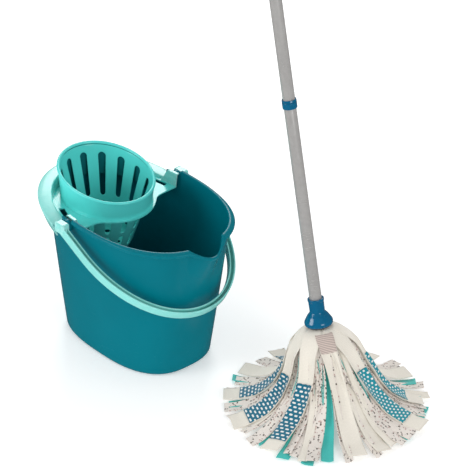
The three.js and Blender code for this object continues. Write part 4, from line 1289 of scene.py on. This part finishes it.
    def shelf(self) -> bpy.types.Object:
        """Returns the shelf plate with the basket's opening and the two long drain openings cut out."""
        bucket, top = self.bucket, self.shelf_top
        step = bucket.turn_at(bucket.step_x - 0.001)
        turns = np.linspace(step, TAU - step, 120)
        near = bucket.lug_rear_x
        cheek = 0.0055 * smoothstep(bucket.rim_x(turns), near - 0.008, near + 0.002)
        x, y = bucket.wall_point(turns, np.full(len(turns), top), self.inset - self.wall / 2 + cheek)
        front_y = np.linspace(y[-1], -y[-1], 90)[1:-1]
        beside = np.minimum(np.abs(front_y) / (self.half_width - 0.001), 1)
        close_round = self.rim_middle[0] + 0.001 + (self.half_length - 0.001) * np.sqrt(1 - beside**2)
        front_x = (close_round + bucket.step_x + np.hypot(close_round - bucket.step_x, 0.012)) / 2
        outline = list(zip(np.concatenate([x, front_x]), np.concatenate([y, front_y])))
        plate = flat_plate("wringer_shelf", outline, top - self.shelf_thick, top)
        opening = self.collar_foot(np.linspace(0, TAU, 160, endpoint=False), self.wall * 0.6, 0.0)[:, :2]
        cut_through(plate, [tuple(p) for p in opening], top)
        ends = [bucket.turn_at(bucket.step_x - 0.022), bucket.turn_at(bucket.step_x - 0.092)]
        for side in (-1, 1):
            along = side * np.linspace(*ends, 24)
            edges = [bucket.wall_point(along, np.full(24, top), 0.013 + inset) for inset in (0.0, 0.010)]
            slot = list(zip(*edges[0])) + list(zip(*(part[::-1] for part in edges[1])))
            cut_through(plate, slot, top)
        work = bmesh.new()
        work.from_mesh(plate.data)
        mark_smooth(work, 32)
        work.to_mesh(plate.data)
        work.free()
        return plate

    def build(self, wardrobe: Wardrobe) -> None:
        """Makes the insert's pieces, which are one moulding on the real object."""
        draft = MeshDraft()
        lug = self.bucket.turn_at(self.bucket.lug_rear_x - 0.003)
        self.sweep(draft, np.linspace(lug, TAU - lug, 170), self.band_section)
        step = self.bucket.turn_at(self.bucket.step_x - 0.001)
        rear = self.bucket.turn_at(self.bucket.lug_rear_x - 0.006)
        for side in (-1, 1):
            self.sweep(draft, side * np.linspace(step, rear, 30), self.cheek_section)
        band = draft.build("wringer_band")
        # Painted light: the band wears the paler, lit copy of the mint plastic.
        wardrobe.put(band, Finish.MINT_PAINTED_LIGHT, "wringer", "wringer_insert")
        collar = MeshDraft()
        self.add_collar(collar)
        ring = collar.build("basket_collar")
        wardrobe.put(ring, Finish.MINT, "wringer")
        # Painted shade on the collar's inner wall behind the slots.
        self.paint_inner_shade(ring, wardrobe)
        wardrobe.put(self.shelf(), Finish.MINT, "wringer")
        wardrobe.put(self.sieve(), Finish.MINT, "wringer")


def arc_places(start: float, end: float, radius: float, steps: int) -> np.ndarray:
    """Returns (turn, radius) pairs along an arc, without its last place."""
    return np.column_stack([np.linspace(start, end, steps, endpoint=False), np.full(steps, radius)])


def spoke_places(turn: float, start: float, end: float, steps: int = 8) -> np.ndarray:
    """Returns (turn, radius) pairs along a spoke, without its last place."""
    return np.column_stack([np.full(steps, turn), np.linspace(start, end, steps, endpoint=False)])


def flat_plate(name: str, outline: Outline, low: float, high: float) -> bpy.types.Object:
    """Builds a plate from an outline.

    Args:
        name: the piece's name.
        outline: (x, y) pairs.
        low, high: the heights of its two faces.

    Returns:
        The plate.
    """
    draft = MeshDraft()
    flat = np.array(outline)
    rows = [np.column_stack([flat, np.full(len(flat), z)]) for z in (low, high)]
    draft.add_rows(np.array(rows), capped=True)
    return draft.build(name)


def cut_through(plate: bpy.types.Object, outline: Outline, height: float) -> None:
    """Cuts an outline right through a plate that lies at a height.

    Args:
        plate: the plate.
        outline: (x, y) pairs.
        height: that of the plate.
    """
    cutter = flat_plate("cutter", outline, height - 0.02, height + 0.02)
    cut = plate.modifiers.new("cut", "BOOLEAN")
    cut.operation, cut.solver, cut.object = "DIFFERENCE", "EXACT", cutter
    applied(plate)
    bpy.data.objects.remove(cutter)


# ---------------------------------------------------------------- bail


@dataclass
class Bail:
    """The swinging carrying handle: a channel loop with a hub and a peg at each end.

    Attributes:
        pivot: X and Z of the pegs.
        drop: how far it hangs below level.
        straight: length of the straight stretch of each arm.
        half_width: half of the distance between the arms.
        power: how square the loop is.
        height: height of the channel.
        thickness: width of the channel.
        wall: thickness of its outer wall.
        hub: inner and outer face of a hub.
        peg_radius: radius of the pegs.
        peg_end: Y of the pegs' inner ends.
        slack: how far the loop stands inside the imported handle's.
        reach: from the pivot to the middle of the loop.
    """

    pivot: tuple[float, float] = (-0.044, 0.271)
    drop: float = math.radians(27)
    straight: float = 0.070
    half_width: float = 0.1441
    power: float = 2.05
    height: float = 0.0175
    thickness: float = 0.011
    wall: float = 0.0028
    hub: tuple[float, float] = (0.1352, 0.150)
    peg_radius: float = 0.005
    peg_end: float = 0.1252
    slack: float = 0.0055
    reach: float = field(init=False)

    def __post_init__(self) -> None:
        """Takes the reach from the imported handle's own box, drawn in by the slack it swings with."""
        low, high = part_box("bail_handle")
        across = (high.x - self.pivot[0] - self.height / 2 * math.sin(self.drop)) / math.cos(self.drop)
        self.reach = across - self.thickness / 2 - self.slack

    def line(self) -> np.ndarray:
        """Returns the middle line in the bail's own plane."""
        turns = np.linspace(-math.pi / 2, math.pi / 2, 150)
        x, y = oval(self.reach - self.straight, self.half_width, self.power, turns)
        arm = np.linspace(0.0, self.straight, 10, endpoint=False)
        width = np.full(10, self.half_width)
        first, loop = np.column_stack([arm, -width]), np.column_stack([x + self.straight, y])
        return np.concatenate([first, loop, np.column_stack([arm, width])[::-1]])

    def section(self) -> Outline:
        """Returns the channel's outline as (outward, upward) pairs."""
        high, wide, wall = self.height / 2, self.thickness / 2, self.wall
        return rounded([
            (wide, -high, 0.0018), (wide, high, 0.0013), (wide - wall, high, 0.0011),
            (wide - wall, -high + wall, 0.0012), (-wide + wall, -high + wall, 0.0012),
            (-wide + wall, high - 0.0012, 0.0009), (-wide, high - 0.0012, 0.0012), (-wide, -high, 0.0018),
        ])

    def build(self, wardrobe: Wardrobe) -> None:
        """Makes the bail."""
        draft = MeshDraft()
        place = Matrix.Translation((self.pivot[0], 0, self.pivot[1])) @ Matrix.Rotation(self.drop, 4, "Y")
        line = self.line()
        section = np.array(self.section())
        rows = []
        for at, (x, y) in enumerate(line):
            along = line[min(at + 1, len(line) - 1)] - line[max(at - 1, 0)]
            along /= np.linalg.norm(along)
            outward = np.array([along[1], -along[0]])
            flat = np.array([x, y]) + section[:, :1] * outward
            rows.append(np.column_stack([flat, section[:, 1]]))
        draft.add_rows(moved(np.array(rows), place), capped=True)
        low, high = self.hub
        corner = [(sx * 0.013, sy * 0.010, 0.005) for sx, sy in ((-1, -1), (1, -1), (1, 1), (-1, 1))]
        pivot = Matrix.Translation((self.pivot[0], 0, self.pivot[1]))
        root = low + 0.004
        for side in (-1, 1):
            upright = pivot @ Matrix.Rotation(-side * math.pi / 2, 4, "X")
            draft.add_block(rounded(corner, steps=6), low, high, upright, 0.0014)
            peg = rounded([
                (0, self.peg_end, 0), (self.peg_radius, self.peg_end, 0.0008), (self.peg_radius, root, 0),
                (0, root, 0),
            ], closed=False)
            draft.add_turned(peg, upright, 48)
        # Painted light: the bail wears the paler, lit copy of the mint plastic.
        wardrobe.put(draft.build("carrying_bail"), Finish.MINT_PAINTED_LIGHT, "bail", "bail_handle")


# ---------------------------------------------------------------- mop: turned pieces


@dataclass
class MopAxis:
    """The leaning line of the mop's handle.

    Attributes:
        foot: where it meets the floor.
        lean: how far it leans towards the bucket.
    """

    foot: tuple[float, float] = (0.3986, 0.1112)
    lean: float = math.radians(12.6)

    def place(self) -> Matrix:
        """Returns the frame whose Z runs up the handle."""
        return Matrix.Translation((*self.foot, 0)) @ Matrix.Rotation(-self.lean, 4, "Y")


@dataclass
class HandleSizes:
    """Sizes that the socket, tubes, couplers and plugs share.

    Attributes:
        tube: radius of the tubes.
        tube_wall: their wall.
        start: where the lowest tube begins.
        length: length of a tube.
        pitch: from one tube's start to the next one's.
        gap: clearance between touching pieces.
        bore: radius of what fits over a tube.
        plug: radius of what fits inside a tube.
        spigot: radius of the screwed end.
    """

    tube: float = 0.011
    tube_wall: float = 0.0008
    start: float = 0.190
    length: float = 0.394
    gap: float = 0.0004
    pitch: float = 0.395
    bore: float = 0.0114
    plug: float = 0.0098
    spigot: float = 0.0076


@dataclass
class MopHead:
    """The socket bell, the core under it, and the disc and screw that clamp the strips.

    Attributes:
        axis: the handle's line.
        sizes: the sizes that it shares with the handle.
        top: height of the socket's mouth, up the handle.
        neck: radius of the socket's neck.
        bell: radius of the bell's foot.
        shoulder: height at which the neck widens.
        foot: height of the bell's foot.
    """

    axis: MopAxis
    sizes: HandleSizes
    top: float = 0.213
    neck: float = 0.0139
    bell: float = 0.026
    shoulder: float = 0.184
    foot: float = 0.163

    def bell_outline(self) -> Outline:
        """Returns the section of the socket bell."""
        s = self.sizes
        low = s.start - s.gap
        return rounded([
            (s.bore, low, 0), (s.bore, self.top, 0.0008), (self.neck + 0.0009, self.top, 0.0012),
            (self.neck + 0.0009, self.top - 0.0042, 0.0010), (self.neck, self.top - 0.0054, 0.0006),
            (self.neck - 0.0002, self.shoulder + 0.003, 0.004),
            (self.bell - 0.0066, self.shoulder - 0.004, 0.010),
            (self.bell, self.foot + 0.006, 0.008), (self.bell - 0.0008, self.foot, 0.0012),
            (self.bell - 0.0036, self.foot, 0.0006), (self.bell - 0.0036, self.foot + 0.007, 0.003),
            (self.neck - 0.001, self.shoulder - 0.005, 0.002),
            (s.spigot + s.gap, self.shoulder - 0.005, 0.0005), (s.spigot + s.gap, low, 0),
        ], steps=8)

    def build(self, wardrobe: Wardrobe) -> None:
        """Makes the socket bell and the core, and dresses the clamp disc and screw from the CAD parts."""
        place = self.axis.place()
        top, end, flange, spindle, screw_hole = 0.1625, 0.1464, 0.022, 0.009, 0.0024
        core = rounded([
            (0, top + 0.004, 0), (spindle, top + 0.004, 0.0008), (spindle + 0.002, top, 0.001),
            (flange, top, 0.0007), (flange, top - 0.0025, 0.0007), (spindle, top - 0.0025, 0.001),
            (spindle, end, 0.0005), (screw_hole, end, 0.0003), (screw_hole, top - 0.004, 0),
            (0, top - 0.004, 0),
        ], closed=False)
        pieces = (("socket_bell_moulding", self.bell_outline(), Finish.SOCKET, "socket_bell"),
                  ("strip_carrier", core, Finish.DARK, "strip_core"))
        for name, outline, finish, node in pieces:
            draft = MeshDraft()
            draft.add_turned(outline, place)
            wardrobe.put(draft.build(name), finish, "mop_head", node)
        for node, finish in (("clamp_disc", Finish.DARK), ("clamp_screw", Finish.STEEL)):
            wardrobe.dress(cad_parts[node], finish)


@dataclass
class Handle:
    """Three tube sections, with a plug and a coupler at each joint and a grip with a hanging eye on top.

    Attributes:
        axis: the handle's line.
        sizes: the sizes that its pieces share.
    """

    axis: MopAxis
    sizes: HandleSizes

    def tube_outline(self, low: float, high: float) -> Outline:
        """Draws a tube with its ends rolled over.

        Args:
            low, high: the heights of its ends.

        Returns:
            Its section as (radius, height) pairs.
        """
        s = self.sizes
        inner = s.tube - s.tube_wall
        return rounded([
            (inner, low, 0.0003), (s.tube, low, 0.0005), (s.tube, high, 0.0005), (inner, high, 0.0003),
        ])

    def coupler_outline(self, head: float, foot: float) -> Outline:
        """Draws a coupler.

        Args:
            head: height of the lower tube's head.
            foot: height of the upper tube's foot.

        Returns:
            Its section as (radius, height) pairs.
        """
        s = self.sizes
        outer, low, high = 0.0132, head - 0.0078, foot + 0.0078
        return rounded([
            (s.spigot + s.gap, head - 0.026, 0), (s.plug, head - 0.026, 0.0005), (s.plug, head + s.gap, 0),
            (s.bore, head + s.gap, 0), (s.bore, low, 0.0003), (outer - 0.0002, low, 0.0008),
            (outer, high - 0.0055, 0.0006), (outer - 0.0008, high - 0.0050, 0.0004),
            (outer - 0.0008, high - 0.0042, 0.0004), (outer, high - 0.0037, 0.0005),
            (outer - 0.0006, high, 0.0010), (s.bore, high, 0.0003),
            (s.bore, foot - s.gap, 0), (s.spigot + s.gap, foot - s.gap, 0),
        ])

    def grip_outline(self, head: float) -> Outline:
        """Draws the cap over the handle's top, ribbed for the hand.

        Args:
            head: height of the upper tube's head.

        Returns:
            Its section as (radius, height) pairs.
        """
        s = self.sizes
        radius, foot = 0.013, head - 0.048
        corners = [(s.bore, foot, 0.0003), (radius - 0.0004, foot, 0.0008)]
        for rib in range(5):
            low = foot + 0.006 + rib * 0.0062
            corners += [(radius, low, 0.0006), (radius - 0.0010, low + 0.0012, 0.0006),
                        (radius - 0.0010, low + 0.0024, 0.0006), (radius, low + 0.0036, 0.0006)]
        corners += [(radius, head - 0.002, 0.004), (radius - 0.003, head + 0.007, 0.006),
                    (0.0035, head + 0.012, 0.001), (0, head + 0.012, 0)]
        under = [(0, head + s.gap, 0), (s.bore, head + s.gap, 0.001), (s.bore, foot, 0)]
        return rounded(corners + under, closed=False)

    def add_eye(self, draft: MeshDraft, head: float, place: Matrix) -> None:
        """Adds the flat hanging eye and the neck that carries it.

        Args:
            draft: where it is added.
            head: height of the upper tube's head.
            place: where the handle's axis stands.
        """
        across = place @ Matrix.Translation((0, 0, head + 0.020)) @ Matrix.Rotation(math.pi / 2, 4, "X")
        hole = across @ Matrix.Translation((0, 0.002, 0))
        turns = np.linspace(0, TAU, 96, endpoint=False)
        rows = []
        for radius, matrix, half in (
                (0.0055, hole, 0.0035), (0.0061, hole, 0.0035), (0.0102, across, 0.0035),
                (0.011, across, 0.0027), (0.011, across, -0.0027), (0.0102, across, -0.0035),
                (0.0061, hole, -0.0035), (0.0055, hole, -0.0029)):
            ring = np.column_stack([radius * np.cos(turns), radius * np.sin(turns), np.full(96, half)])
            rows.append(moved(ring, matrix))
        draft.add_rows(np.array(rows), looped=True)
        low, high = (0.0078, 0.002, 0.002), (0.0086, 0.0135, 0.004)
        neck = rounded([(-low[0], *low[1:]), low, high, (-high[0], *high[1:])])
        upright = place @ Matrix.Translation((0, 0, head)) @ Matrix.Rotation(math.pi / 2, 4, "X")
        draft.add_block(neck, -0.0034, 0.0034, upright, 0.0008)

    def build(self, wardrobe: Wardrobe) -> None:
        """Makes the handle, from the lowest tube to the grip."""
        s, place = self.sizes, self.axis.place()
        sections = ("lower", "middle", "upper")
        for at, section in enumerate(sections):
            foot = s.start + at * s.pitch
            head = foot + s.length
            body = f"handle_{section}"
            tube = MeshDraft()
            tube.add_turned(self.tube_outline(foot, head), place)
            wardrobe.put(tube.build(f"{section}_handle_tube"), Finish.TUBE, body, f"{section}_tube")
            wardrobe.dress(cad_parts[f"{section}_plug"], Finish.DARK)
            if section != sections[-1]:
                ring = MeshDraft()
                ring.add_turned(self.coupler_outline(head, head + s.pitch - s.length), place)
                wardrobe.put(ring.build(f"{section}_screw_ring"), Finish.SOCKET, body, f"{section}_coupler")
        grip = MeshDraft()
        grip.add_turned(self.grip_outline(head), place)
        self.add_eye(grip, head, place)
        wardrobe.put(grip.build("hanging_grip"), Finish.SOCKET, "handle_upper", "end_grip")


# ---------------------------------------------------------------- mop: strips


class Cloth(Enum):
    """The kinds of strip, each with its finish, width and layer."""

    PLAIN = (Finish.CREAM, 0.036, 0)
    UNDER = (Finish.CREAM, 0.032, 1)
    PATCHED = (Finish.CREAM, 0.037, 0)
    DOTTED = (Finish.CREAM, 0.0365, 0)
    LABELLED = (Finish.CREAM, 0.034, 0)
    SPECKLED = (Finish.SPECKLED, 0.023, 1)
    NARROW = (Finish.SPECKLED, 0.015, 1)
    CREAM_NARROW = (Finish.CREAM, 0.016, 1)
    MINT = (Finish.MINTED, 0.022, 2)

    @property
    def finish(self) -> Finish:
        """The strip's finish."""
        return self.value[0]

    @property
    def width(self) -> float:
        """Its cut width."""
        return self.value[1]

    @property
    def layer(self) -> int:
        """How many layers lie over it."""
        return self.value[2]


@dataclass(frozen=True)
class StripPlan:
    """One strip: its cloth, where it hangs round the head, and how far it is raised.

    Attributes:
        cloth: its kind.
        top: where it leaves the clamp, in degrees from the mop's front.
        bearing: where it ends on the floor.
        lift: how far it is raised over its layer.
        node: the CAD strip that it stands for, or nothing.
    """

    cloth: Cloth
    top: float
    bearing: float
    lift: float = 0.0
    node: str = ""


@dataclass
class StripSkirt:
    """All the strips of the mop, which hang from the clamp and splay out on the floor.

    Attributes:
        axis: the handle's line.
        splay: the middle of the circle that the strips' ends reach.
        front: the bearing that faces the viewer, in degrees.
        spread: radius of that circle.
        cut: length of a strip.
        step: distance between layers at the shoulder.
        thick: thickness of the cloth.
    """

    axis: MopAxis
    splay: tuple[float, float] = (0.394, 0.106)
    front: float = 319.2
    spread: float = 0.189
    cut: float = 0.245
    step: float = 0.0028
    thick: float = 0.0012

    def plans(self) -> list[StripPlan]:
        """Returns every strip, from the outermost layer in."""
        patched, dotted, labelled, plain = Cloth.PATCHED, Cloth.DOTTED, Cloth.LABELLED, Cloth.PLAIN
        wide = [(patched, -104, -98), (patched, -68, -67), (patched, -30, -37), (labelled, 11, 17),
                (dotted, 50, 66), (dotted, 86, 91), (plain, 118, 121), (patched, 148, 149),
                (plain, 178, 177), (patched, -154, -153), (plain, -128, -126)]
        speckled = [(-142, -140), (-116, -112), (-86, -83), (-50, -52), (-11, -20), (24, 47),
                    (68, 56), (70, 79), (104, 106), (133, 135), (162, 163)]
        mints = [(-7, -2), (-46, -46), (-118, -118), (-160, -160), (158, 158), (112, 112), (72, 73), (40, 52)]
        loose_mints = (-88, -27, -13, 84, 100)
        narrow_speckled = (-104, -75, -58, -25, 10, 26, 60, 85, 128, -132, -168)
        narrow_cream = (-17, -60, 40, 98, 170)
        plans = [StripPlan(kind, top, at, 0.0005 * (n % 3), f"outer_strip_{n + 1}")
                 for n, (kind, top, at) in enumerate(wide)]
        plans.append(StripPlan(Cloth.UNDER, 27, 33, 0.0010, "outer_strip_12"))
        plans += [StripPlan(Cloth.SPECKLED, top, at, 0.0004 * (n % 3), f"middle_strip_{n + 1}")
                  for n, (top, at) in enumerate(speckled)]
        plans.append(StripPlan(Cloth.SPECKLED, -14, -11, 0.0, "middle_strip_12"))
        plans += [StripPlan(Cloth.MINT, top, at, 0.0, f"inner_strip_{n + 1}")
                  for n, (top, at) in enumerate(mints)]
        plans += [StripPlan(Cloth.MINT, at, at) for at in loose_mints]
        plans += [StripPlan(Cloth.NARROW, at, at, 0.0012) for at in narrow_speckled]
        plans += [StripPlan(Cloth.CREAM_NARROW, at, at, 0.0016) for at in narrow_cream]
        return plans

    def meridian(self) -> tuple[np.ndarray, np.ndarray]:
        """Returns the radius and height along the outermost strip, evenly spaced along its length."""
        shoulder = bezier((0.013, 0.1568), (0.029, 0.1578), (0.046, 0.151), (0.058, 0.119))
        fall = bezier((0.058, 0.119), (0.068, 0.084), (0.094, 0.010), (self.spread, 0.0026))
        line = np.concatenate([shoulder, fall[1:]])
        lengths = np.concatenate([[0], np.cumsum(np.linalg.norm(np.diff(line, axis=0), axis=1))])
        even = np.linspace(0, lengths[-1], 400)
        return np.interp(even, lengths, line[:, 0]), np.interp(even, lengths, line[:, 1])

    def place(self, radius: Any, turn: Any, height: Any) -> np.ndarray:
        """Places round the head: up at the clamp they follow the leaning handle, on the floor the splay.

        Args:
            radius: distance from the middle.
            turn: the turn in radians.
            height: height up the handle.

        Returns:
            Their places, as rows of (x, y, z).
        """
        along, across = radius * np.cos(turn), radius * np.sin(turn)
        lean = self.axis.lean
        floor = np.stack(np.broadcast_arrays(self.splay[0] + along, self.splay[1] + across, height), -1)
        head_x = self.axis.foot[0] + along * math.cos(lean) - height * math.sin(lean)
        head_z = height * math.cos(lean) + along * math.sin(lean)
        head = np.stack(np.broadcast_arrays(head_x, self.axis.foot[1] + across, head_z), -1)
        share = np.asarray(smoothstep(height, 0, 0.145))[..., None]
        return lerp(floor, head, share)

    def surface(
        self, plan: StripPlan, seed: int, raised: float = 0.0, width: float = 0.0
    ) -> Callable[[Any, Any], np.ndarray]:
        """The shape of one hanging strip.

        Args:
            plan: the strip.
            seed: the number that its own waves come from.
            raised: how far above the strip the surface lies, for a patch on it.
            width: the width of what lies there, or 0 for the strip's own.

        Returns:
            A function from shares across and along the strip to places.
        """
        draw = random.Random(seed)
        depth = plan.cloth.layer
        radius, height = self.meridian()
        at = np.linspace(0, 1, len(radius))
        start, end = math.radians(self.front + plan.top), math.radians(self.front + plan.bearing)
        sway, wander = draw.uniform(-1, 1), draw.uniform(-1, 1)
        twist, curl = math.radians(draw.uniform(-16, 16)), draw.uniform(-0.0016, 0.0024)
        phase, waves = draw.uniform(0, TAU), draw.uniform(2.2, 3.4)
        reach, skew = draw.uniform(0.94, 1.0), draw.uniform(-0.035, 0.035)
        full = width or plan.cloth.width

        def shape(across: Any, along: Any) -> np.ndarray:
            """Returns places at shares across and along the strip."""
            along = np.asarray(along, float)
            along = along * reach + skew * np.asarray(across) * along**3
            nudge = 0.004

            def centre(share: Any, side: Any = 0.0) -> np.ndarray:
                """Returns places along the strip's middle, or side radians beside it."""
                r, z = np.interp(share, at, radius), np.interp(share, at, height)
                under = (depth * self.step - plan.lift - raised) * (1 - smoothstep(share, 0.75, 1.0))
                r, z = r - under * 0.8, z - under * 0.7
                z = z + (2 - depth) * 0.0021 * smoothstep(share, 0.6, 1.0) + raised + plan.lift * 0.3
                ripple = 0.0014 * np.sin(phase + waves * TAU * share) * smoothstep(share, 0.25, 0.6)
                drift = 0.006 * sway * share**2 + 0.004 * wander * np.sin(math.pi * share * 1.5)
                drift = drift / np.maximum(r, 0.03)
                turn = lerp(start, end, smoothstep(share, 0.1, 0.75))
                return self.place(r + ripple * 0.4, turn + drift + side, z + np.abs(ripple))

            middle = centre(along)
            forward = centre(along + nudge) - centre(along - nudge)
            forward /= np.linalg.norm(forward, axis=-1, keepdims=True)
            r = np.interp(along, at, radius)
            sideways = centre(along, 0.01) - centre(along, -0.01)
            sideways /= np.linalg.norm(sideways, axis=-1, keepdims=True)
            outward = np.cross(sideways, forward)
            outward /= np.linalg.norm(outward, axis=-1, keepdims=True)
            angle = (twist * smoothstep(along, 0.35, 1.0))[..., None]
            tilted = sideways * np.cos(angle) + outward * np.sin(angle)
            facing = outward * np.cos(angle) - sideways * np.sin(angle)
            room = np.minimum(full, 1.75 * TAU * r / 12 * full / 0.036 + 0.006)
            fold = smoothstep(along, 0.12, 0.3) * (1 - smoothstep(along, 0.42, 0.8))
            offset = np.asarray(across, float) * room * (1 - 0.2 * fold)
            bow = curl * smoothstep(along, 0.3, 0.7) * (1 - (2 * np.asarray(across)) ** 2)
            bow = bow - 0.22 * full * fold * (2 * np.asarray(across)) ** 2
            flat = middle + tilted * offset[..., None] + facing * bow[..., None]
            wrapped = centre(along, offset / np.maximum(r, 0.014)) + outward * bow[..., None]
            hugging = (1 - smoothstep(along, 0.2, 0.5))[..., None]
            places = lerp(flat, wrapped, hugging)
            lowest = self.thick * 0.5 + 0.0003 + raised
            places[..., 2] = lowest + softplus(places[..., 2] - lowest, 0.0008)
            return places

        return shape

    def cloth(self, name: str, shape: Callable[[Any, Any], np.ndarray], width: float,
              span: tuple[float, float], thick: float, rows: int = 64) -> bpy.types.Object:
        """Makes one piece of cloth.

        Args:
            name: its name.
            shape: places from shares across and along.
            width: its cut width.
            span: the shares along the strip where it starts and ends.
            thick: its thickness.
            rows: steps along it.

        Returns:
            The piece, with its pattern laid out in metres.
        """
        columns = 12
        across = np.linspace(-0.5, 0.5, columns + 1)
        along = np.linspace(*span, rows + 1)
        wide, far = np.meshgrid(across, along)
        places = shape(wide, far)
        draft = MeshDraft()
        draft.add_rows(places, around=False)
        uv = np.column_stack([wide.ravel() * width, far.ravel() * self.cut])
        piece = draft.build(name, sharp=70, uv=uv)
        if piece.data.polygons[0].normal.dot(Vector(places[0, 0] - np.array([*self.axis.foot, 0.05]))) < 0:
            piece.data.flip_normals()
        layer = piece.modifiers.new("cloth", "SOLIDIFY")
        layer.thickness, layer.offset = thick, 0.0
        return applied(piece)

    def build(self, wardrobe: Wardrobe) -> None:
        """Makes every strip, and the patches and the tab that are sewn on."""
        numbers: dict[Cloth, int] = {}
        for seed, plan in enumerate(self.plans()):
            numbers[plan.cloth] = numbers.get(plan.cloth, 0) + 1
            label = f"{plan.cloth.name.lower()}_strip_{numbers[plan.cloth]}"
            piece = self.cloth(label, self.surface(plan, seed), plan.cloth.width, (0.0, 1.0), self.thick)
            wardrobe.put(piece, plan.cloth.finish, "mop_head", *([plan.node] if plan.node else []))
            number = numbers[plan.cloth]
            sewn = {
                Cloth.PATCHED: (f"scrub_patch_{number}", (0.43, 0.88), Finish.SCRUB),
                Cloth.DOTTED: (f"spotted_patch_{number}", (0.4, 0.86), Finish.SPOTTED),
                Cloth.LABELLED: ("sewn_tab", (0.085, 0.235), Finish.LABEL),
            }
            if plan.cloth in sewn:
                name, span, finish = sewn[plan.cloth]
                self.sew(wardrobe, name, plan, seed, span, finish)

    def sew(self, wardrobe: Wardrobe, name: str, plan: StripPlan, seed: int, span: tuple[float, float],
            finish: Finish) -> None:
        """Sews a patch of cloth on a strip.

        Args:
            wardrobe: the finishes.
            name: the patch's name.
            plan: the strip.
            seed: the strip's own number.
            span: where on the strip the patch starts and ends.
            finish: the patch's finish.
        """
        width = plan.cloth.width - 0.002
        shape = self.surface(plan, seed, self.thick * 0.5 + 0.0006, width)
        patch = self.cloth(name, shape, width, span, 0.0008, rows=40)
        wardrobe.put(patch, finish, "mop_head")


def bezier(start: tuple[float, float], pull: tuple[float, float], push: tuple[float, float],
           end: tuple[float, float], steps: int = 60) -> np.ndarray:
    """Draws a cubic curve.

    Args:
        start, end: its two ends.
        pull, push: the points that it bends towards.
        steps: how many points it gets.

    Returns:
        The points, one a row.
    """
    t = np.linspace(0, 1, steps + 1)[:, None]
    a, b, c, d = (np.array(p) for p in (start, pull, push, end))
    return a * (1 - t) ** 3 + 3 * b * t * (1 - t) ** 2 + 3 * c * t**2 * (1 - t) + d * t**3


def softplus(value: np.ndarray, softness: float) -> np.ndarray:
    """Returns value where it is well above zero, and never less than zero."""
    return softness * np.logaddexp(0, value / softness)


# ---------------------------------------------------------------- studio


@dataclass
class Studio:
    """The camera, the pale floor and the soft lights.

    Attributes:
        distance: from the bucket to the camera.
        azimuth: direction of view round the object.
        elevation: how far the camera looks down.
        aim: the place at the middle of the picture.
        lens: focal length on a 36 mm sensor.
    """

    distance: float = 6.0
    azimuth: float = 49.2
    elevation: float = 34.1
    aim: tuple[float, float, float] = (0.0397, 0.2033, 0.1518)
    lens: float = 247.5

    def build_camera(self) -> None:
        """Sets the camera up."""
        azimuth, elevation = math.radians(self.azimuth), math.radians(self.elevation)
        back = Vector((math.sin(azimuth) * math.cos(elevation), -math.cos(azimuth) * math.cos(elevation),
                       math.sin(elevation)))
        right = Vector((math.cos(azimuth), math.sin(azimuth), 0))
        data = bpy.data.cameras.new("camera")
        data.lens = self.lens
        data.clip_end = 50
        camera = bpy.data.objects.new("camera", data)
        bpy.context.scene.collection.objects.link(camera)
        place = back * self.distance
        z_axis = (place - Vector(self.aim)).normalized()
        x_axis = (right - z_axis * right.dot(z_axis)).normalized()
        turned = Matrix((x_axis, z_axis.cross(x_axis), z_axis)).transposed().to_4x4()
        camera.matrix_world = Matrix.Translation(place) @ turned
        bpy.context.scene.camera = camera

    def build_floor(self) -> None:
        """Lays a wide pale floor."""
        draft = MeshDraft()
        side = np.linspace(-7, 7, 15)
        x, y = np.meshgrid(side, side)
        draft.add_rows(np.stack([x, y, np.full_like(x, -0.0004)], -1), around=False)
        floor = draft.build("floor")
        material, sheet, shader = new_material("pale_floor", 0.85)
        where = sheet.add("TexCoord").outputs["Object"]
        tone = sheet.blend(sheet.noise(where, 2.0), (0.93, 0.93, 0.93, 1), (0.96, 0.96, 0.96, 1))
        sheet.feed(shader.inputs["Base Color"], tone)
        shader.inputs["Emission Color"].default_value = (1, 1, 1, 1)
        shader.inputs["Emission Strength"].default_value = 0.28
        floor.data.materials.append(material)
        floor.visible_glossy = False

    def add_light(self, name: str, place: tuple[float, float, float], size: float, watts: float) -> None:
        """Adds a square soft light that faces the object.

        Args:
            name: its name.
            place: where it stands.
            size: the length of its side.
            watts: its power.
        """
        data = bpy.data.lights.new(name, "AREA")
        data.size, data.energy = size, watts
        lamp = bpy.data.objects.new(name, data)
        bpy.context.scene.collection.objects.link(lamp)
        lamp.location = place
        towards = Vector((0.15, 0.05, 0.15)) - Vector(place)
        lamp.rotation_euler = towards.to_track_quat("-Z", "Y").to_euler()

    def build(self) -> None:
        """Builds the whole studio."""
        self.build_camera()
        self.build_floor()
        self.add_light("key_light", (-1.3, -3.2, 1.5), 1.8, 52)
        self.add_light("side_light", (3.3, -0.5, 1.5), 1.4, 34)
        self.add_light("back_light", (-2.3, 2.2, 2.4), 1.4, 48)
        world = bpy.data.worlds.new("studio")
        world.use_nodes = True
        sheet = NodeSheet(world.node_tree)
        glossy = sheet.add("LightPath").outputs["Is Glossy Ray"]
        background = world.node_tree.nodes["Background"]
        background.inputs[0].default_value = (1, 1, 1, 1)
        sheet.feed(background.inputs[1], sheet.span(glossy, 0.0, 1.0, 0.62, 0.08))
        bpy.context.scene.world = world
        bpy.context.scene.view_settings.view_transform = "Standard"


def main() -> None:
    """Builds the studio and every piece."""
    logging.basicConfig(level=logging.INFO, format="%(message)s")
    Studio().build()
    wardrobe = Wardrobe()
    bucket = Bucket()
    bucket.build(wardrobe)
    Wringer(bucket).build(wardrobe)
    Bail().build(wardrobe)
    axis, sizes = MopAxis(), HandleSizes()
    MopHead(axis, sizes).build(wardrobe)
    Handle(axis, sizes).build(wardrobe)
    StripSkirt(axis).build(wardrobe)


if __name__ == "__main__":
    main()
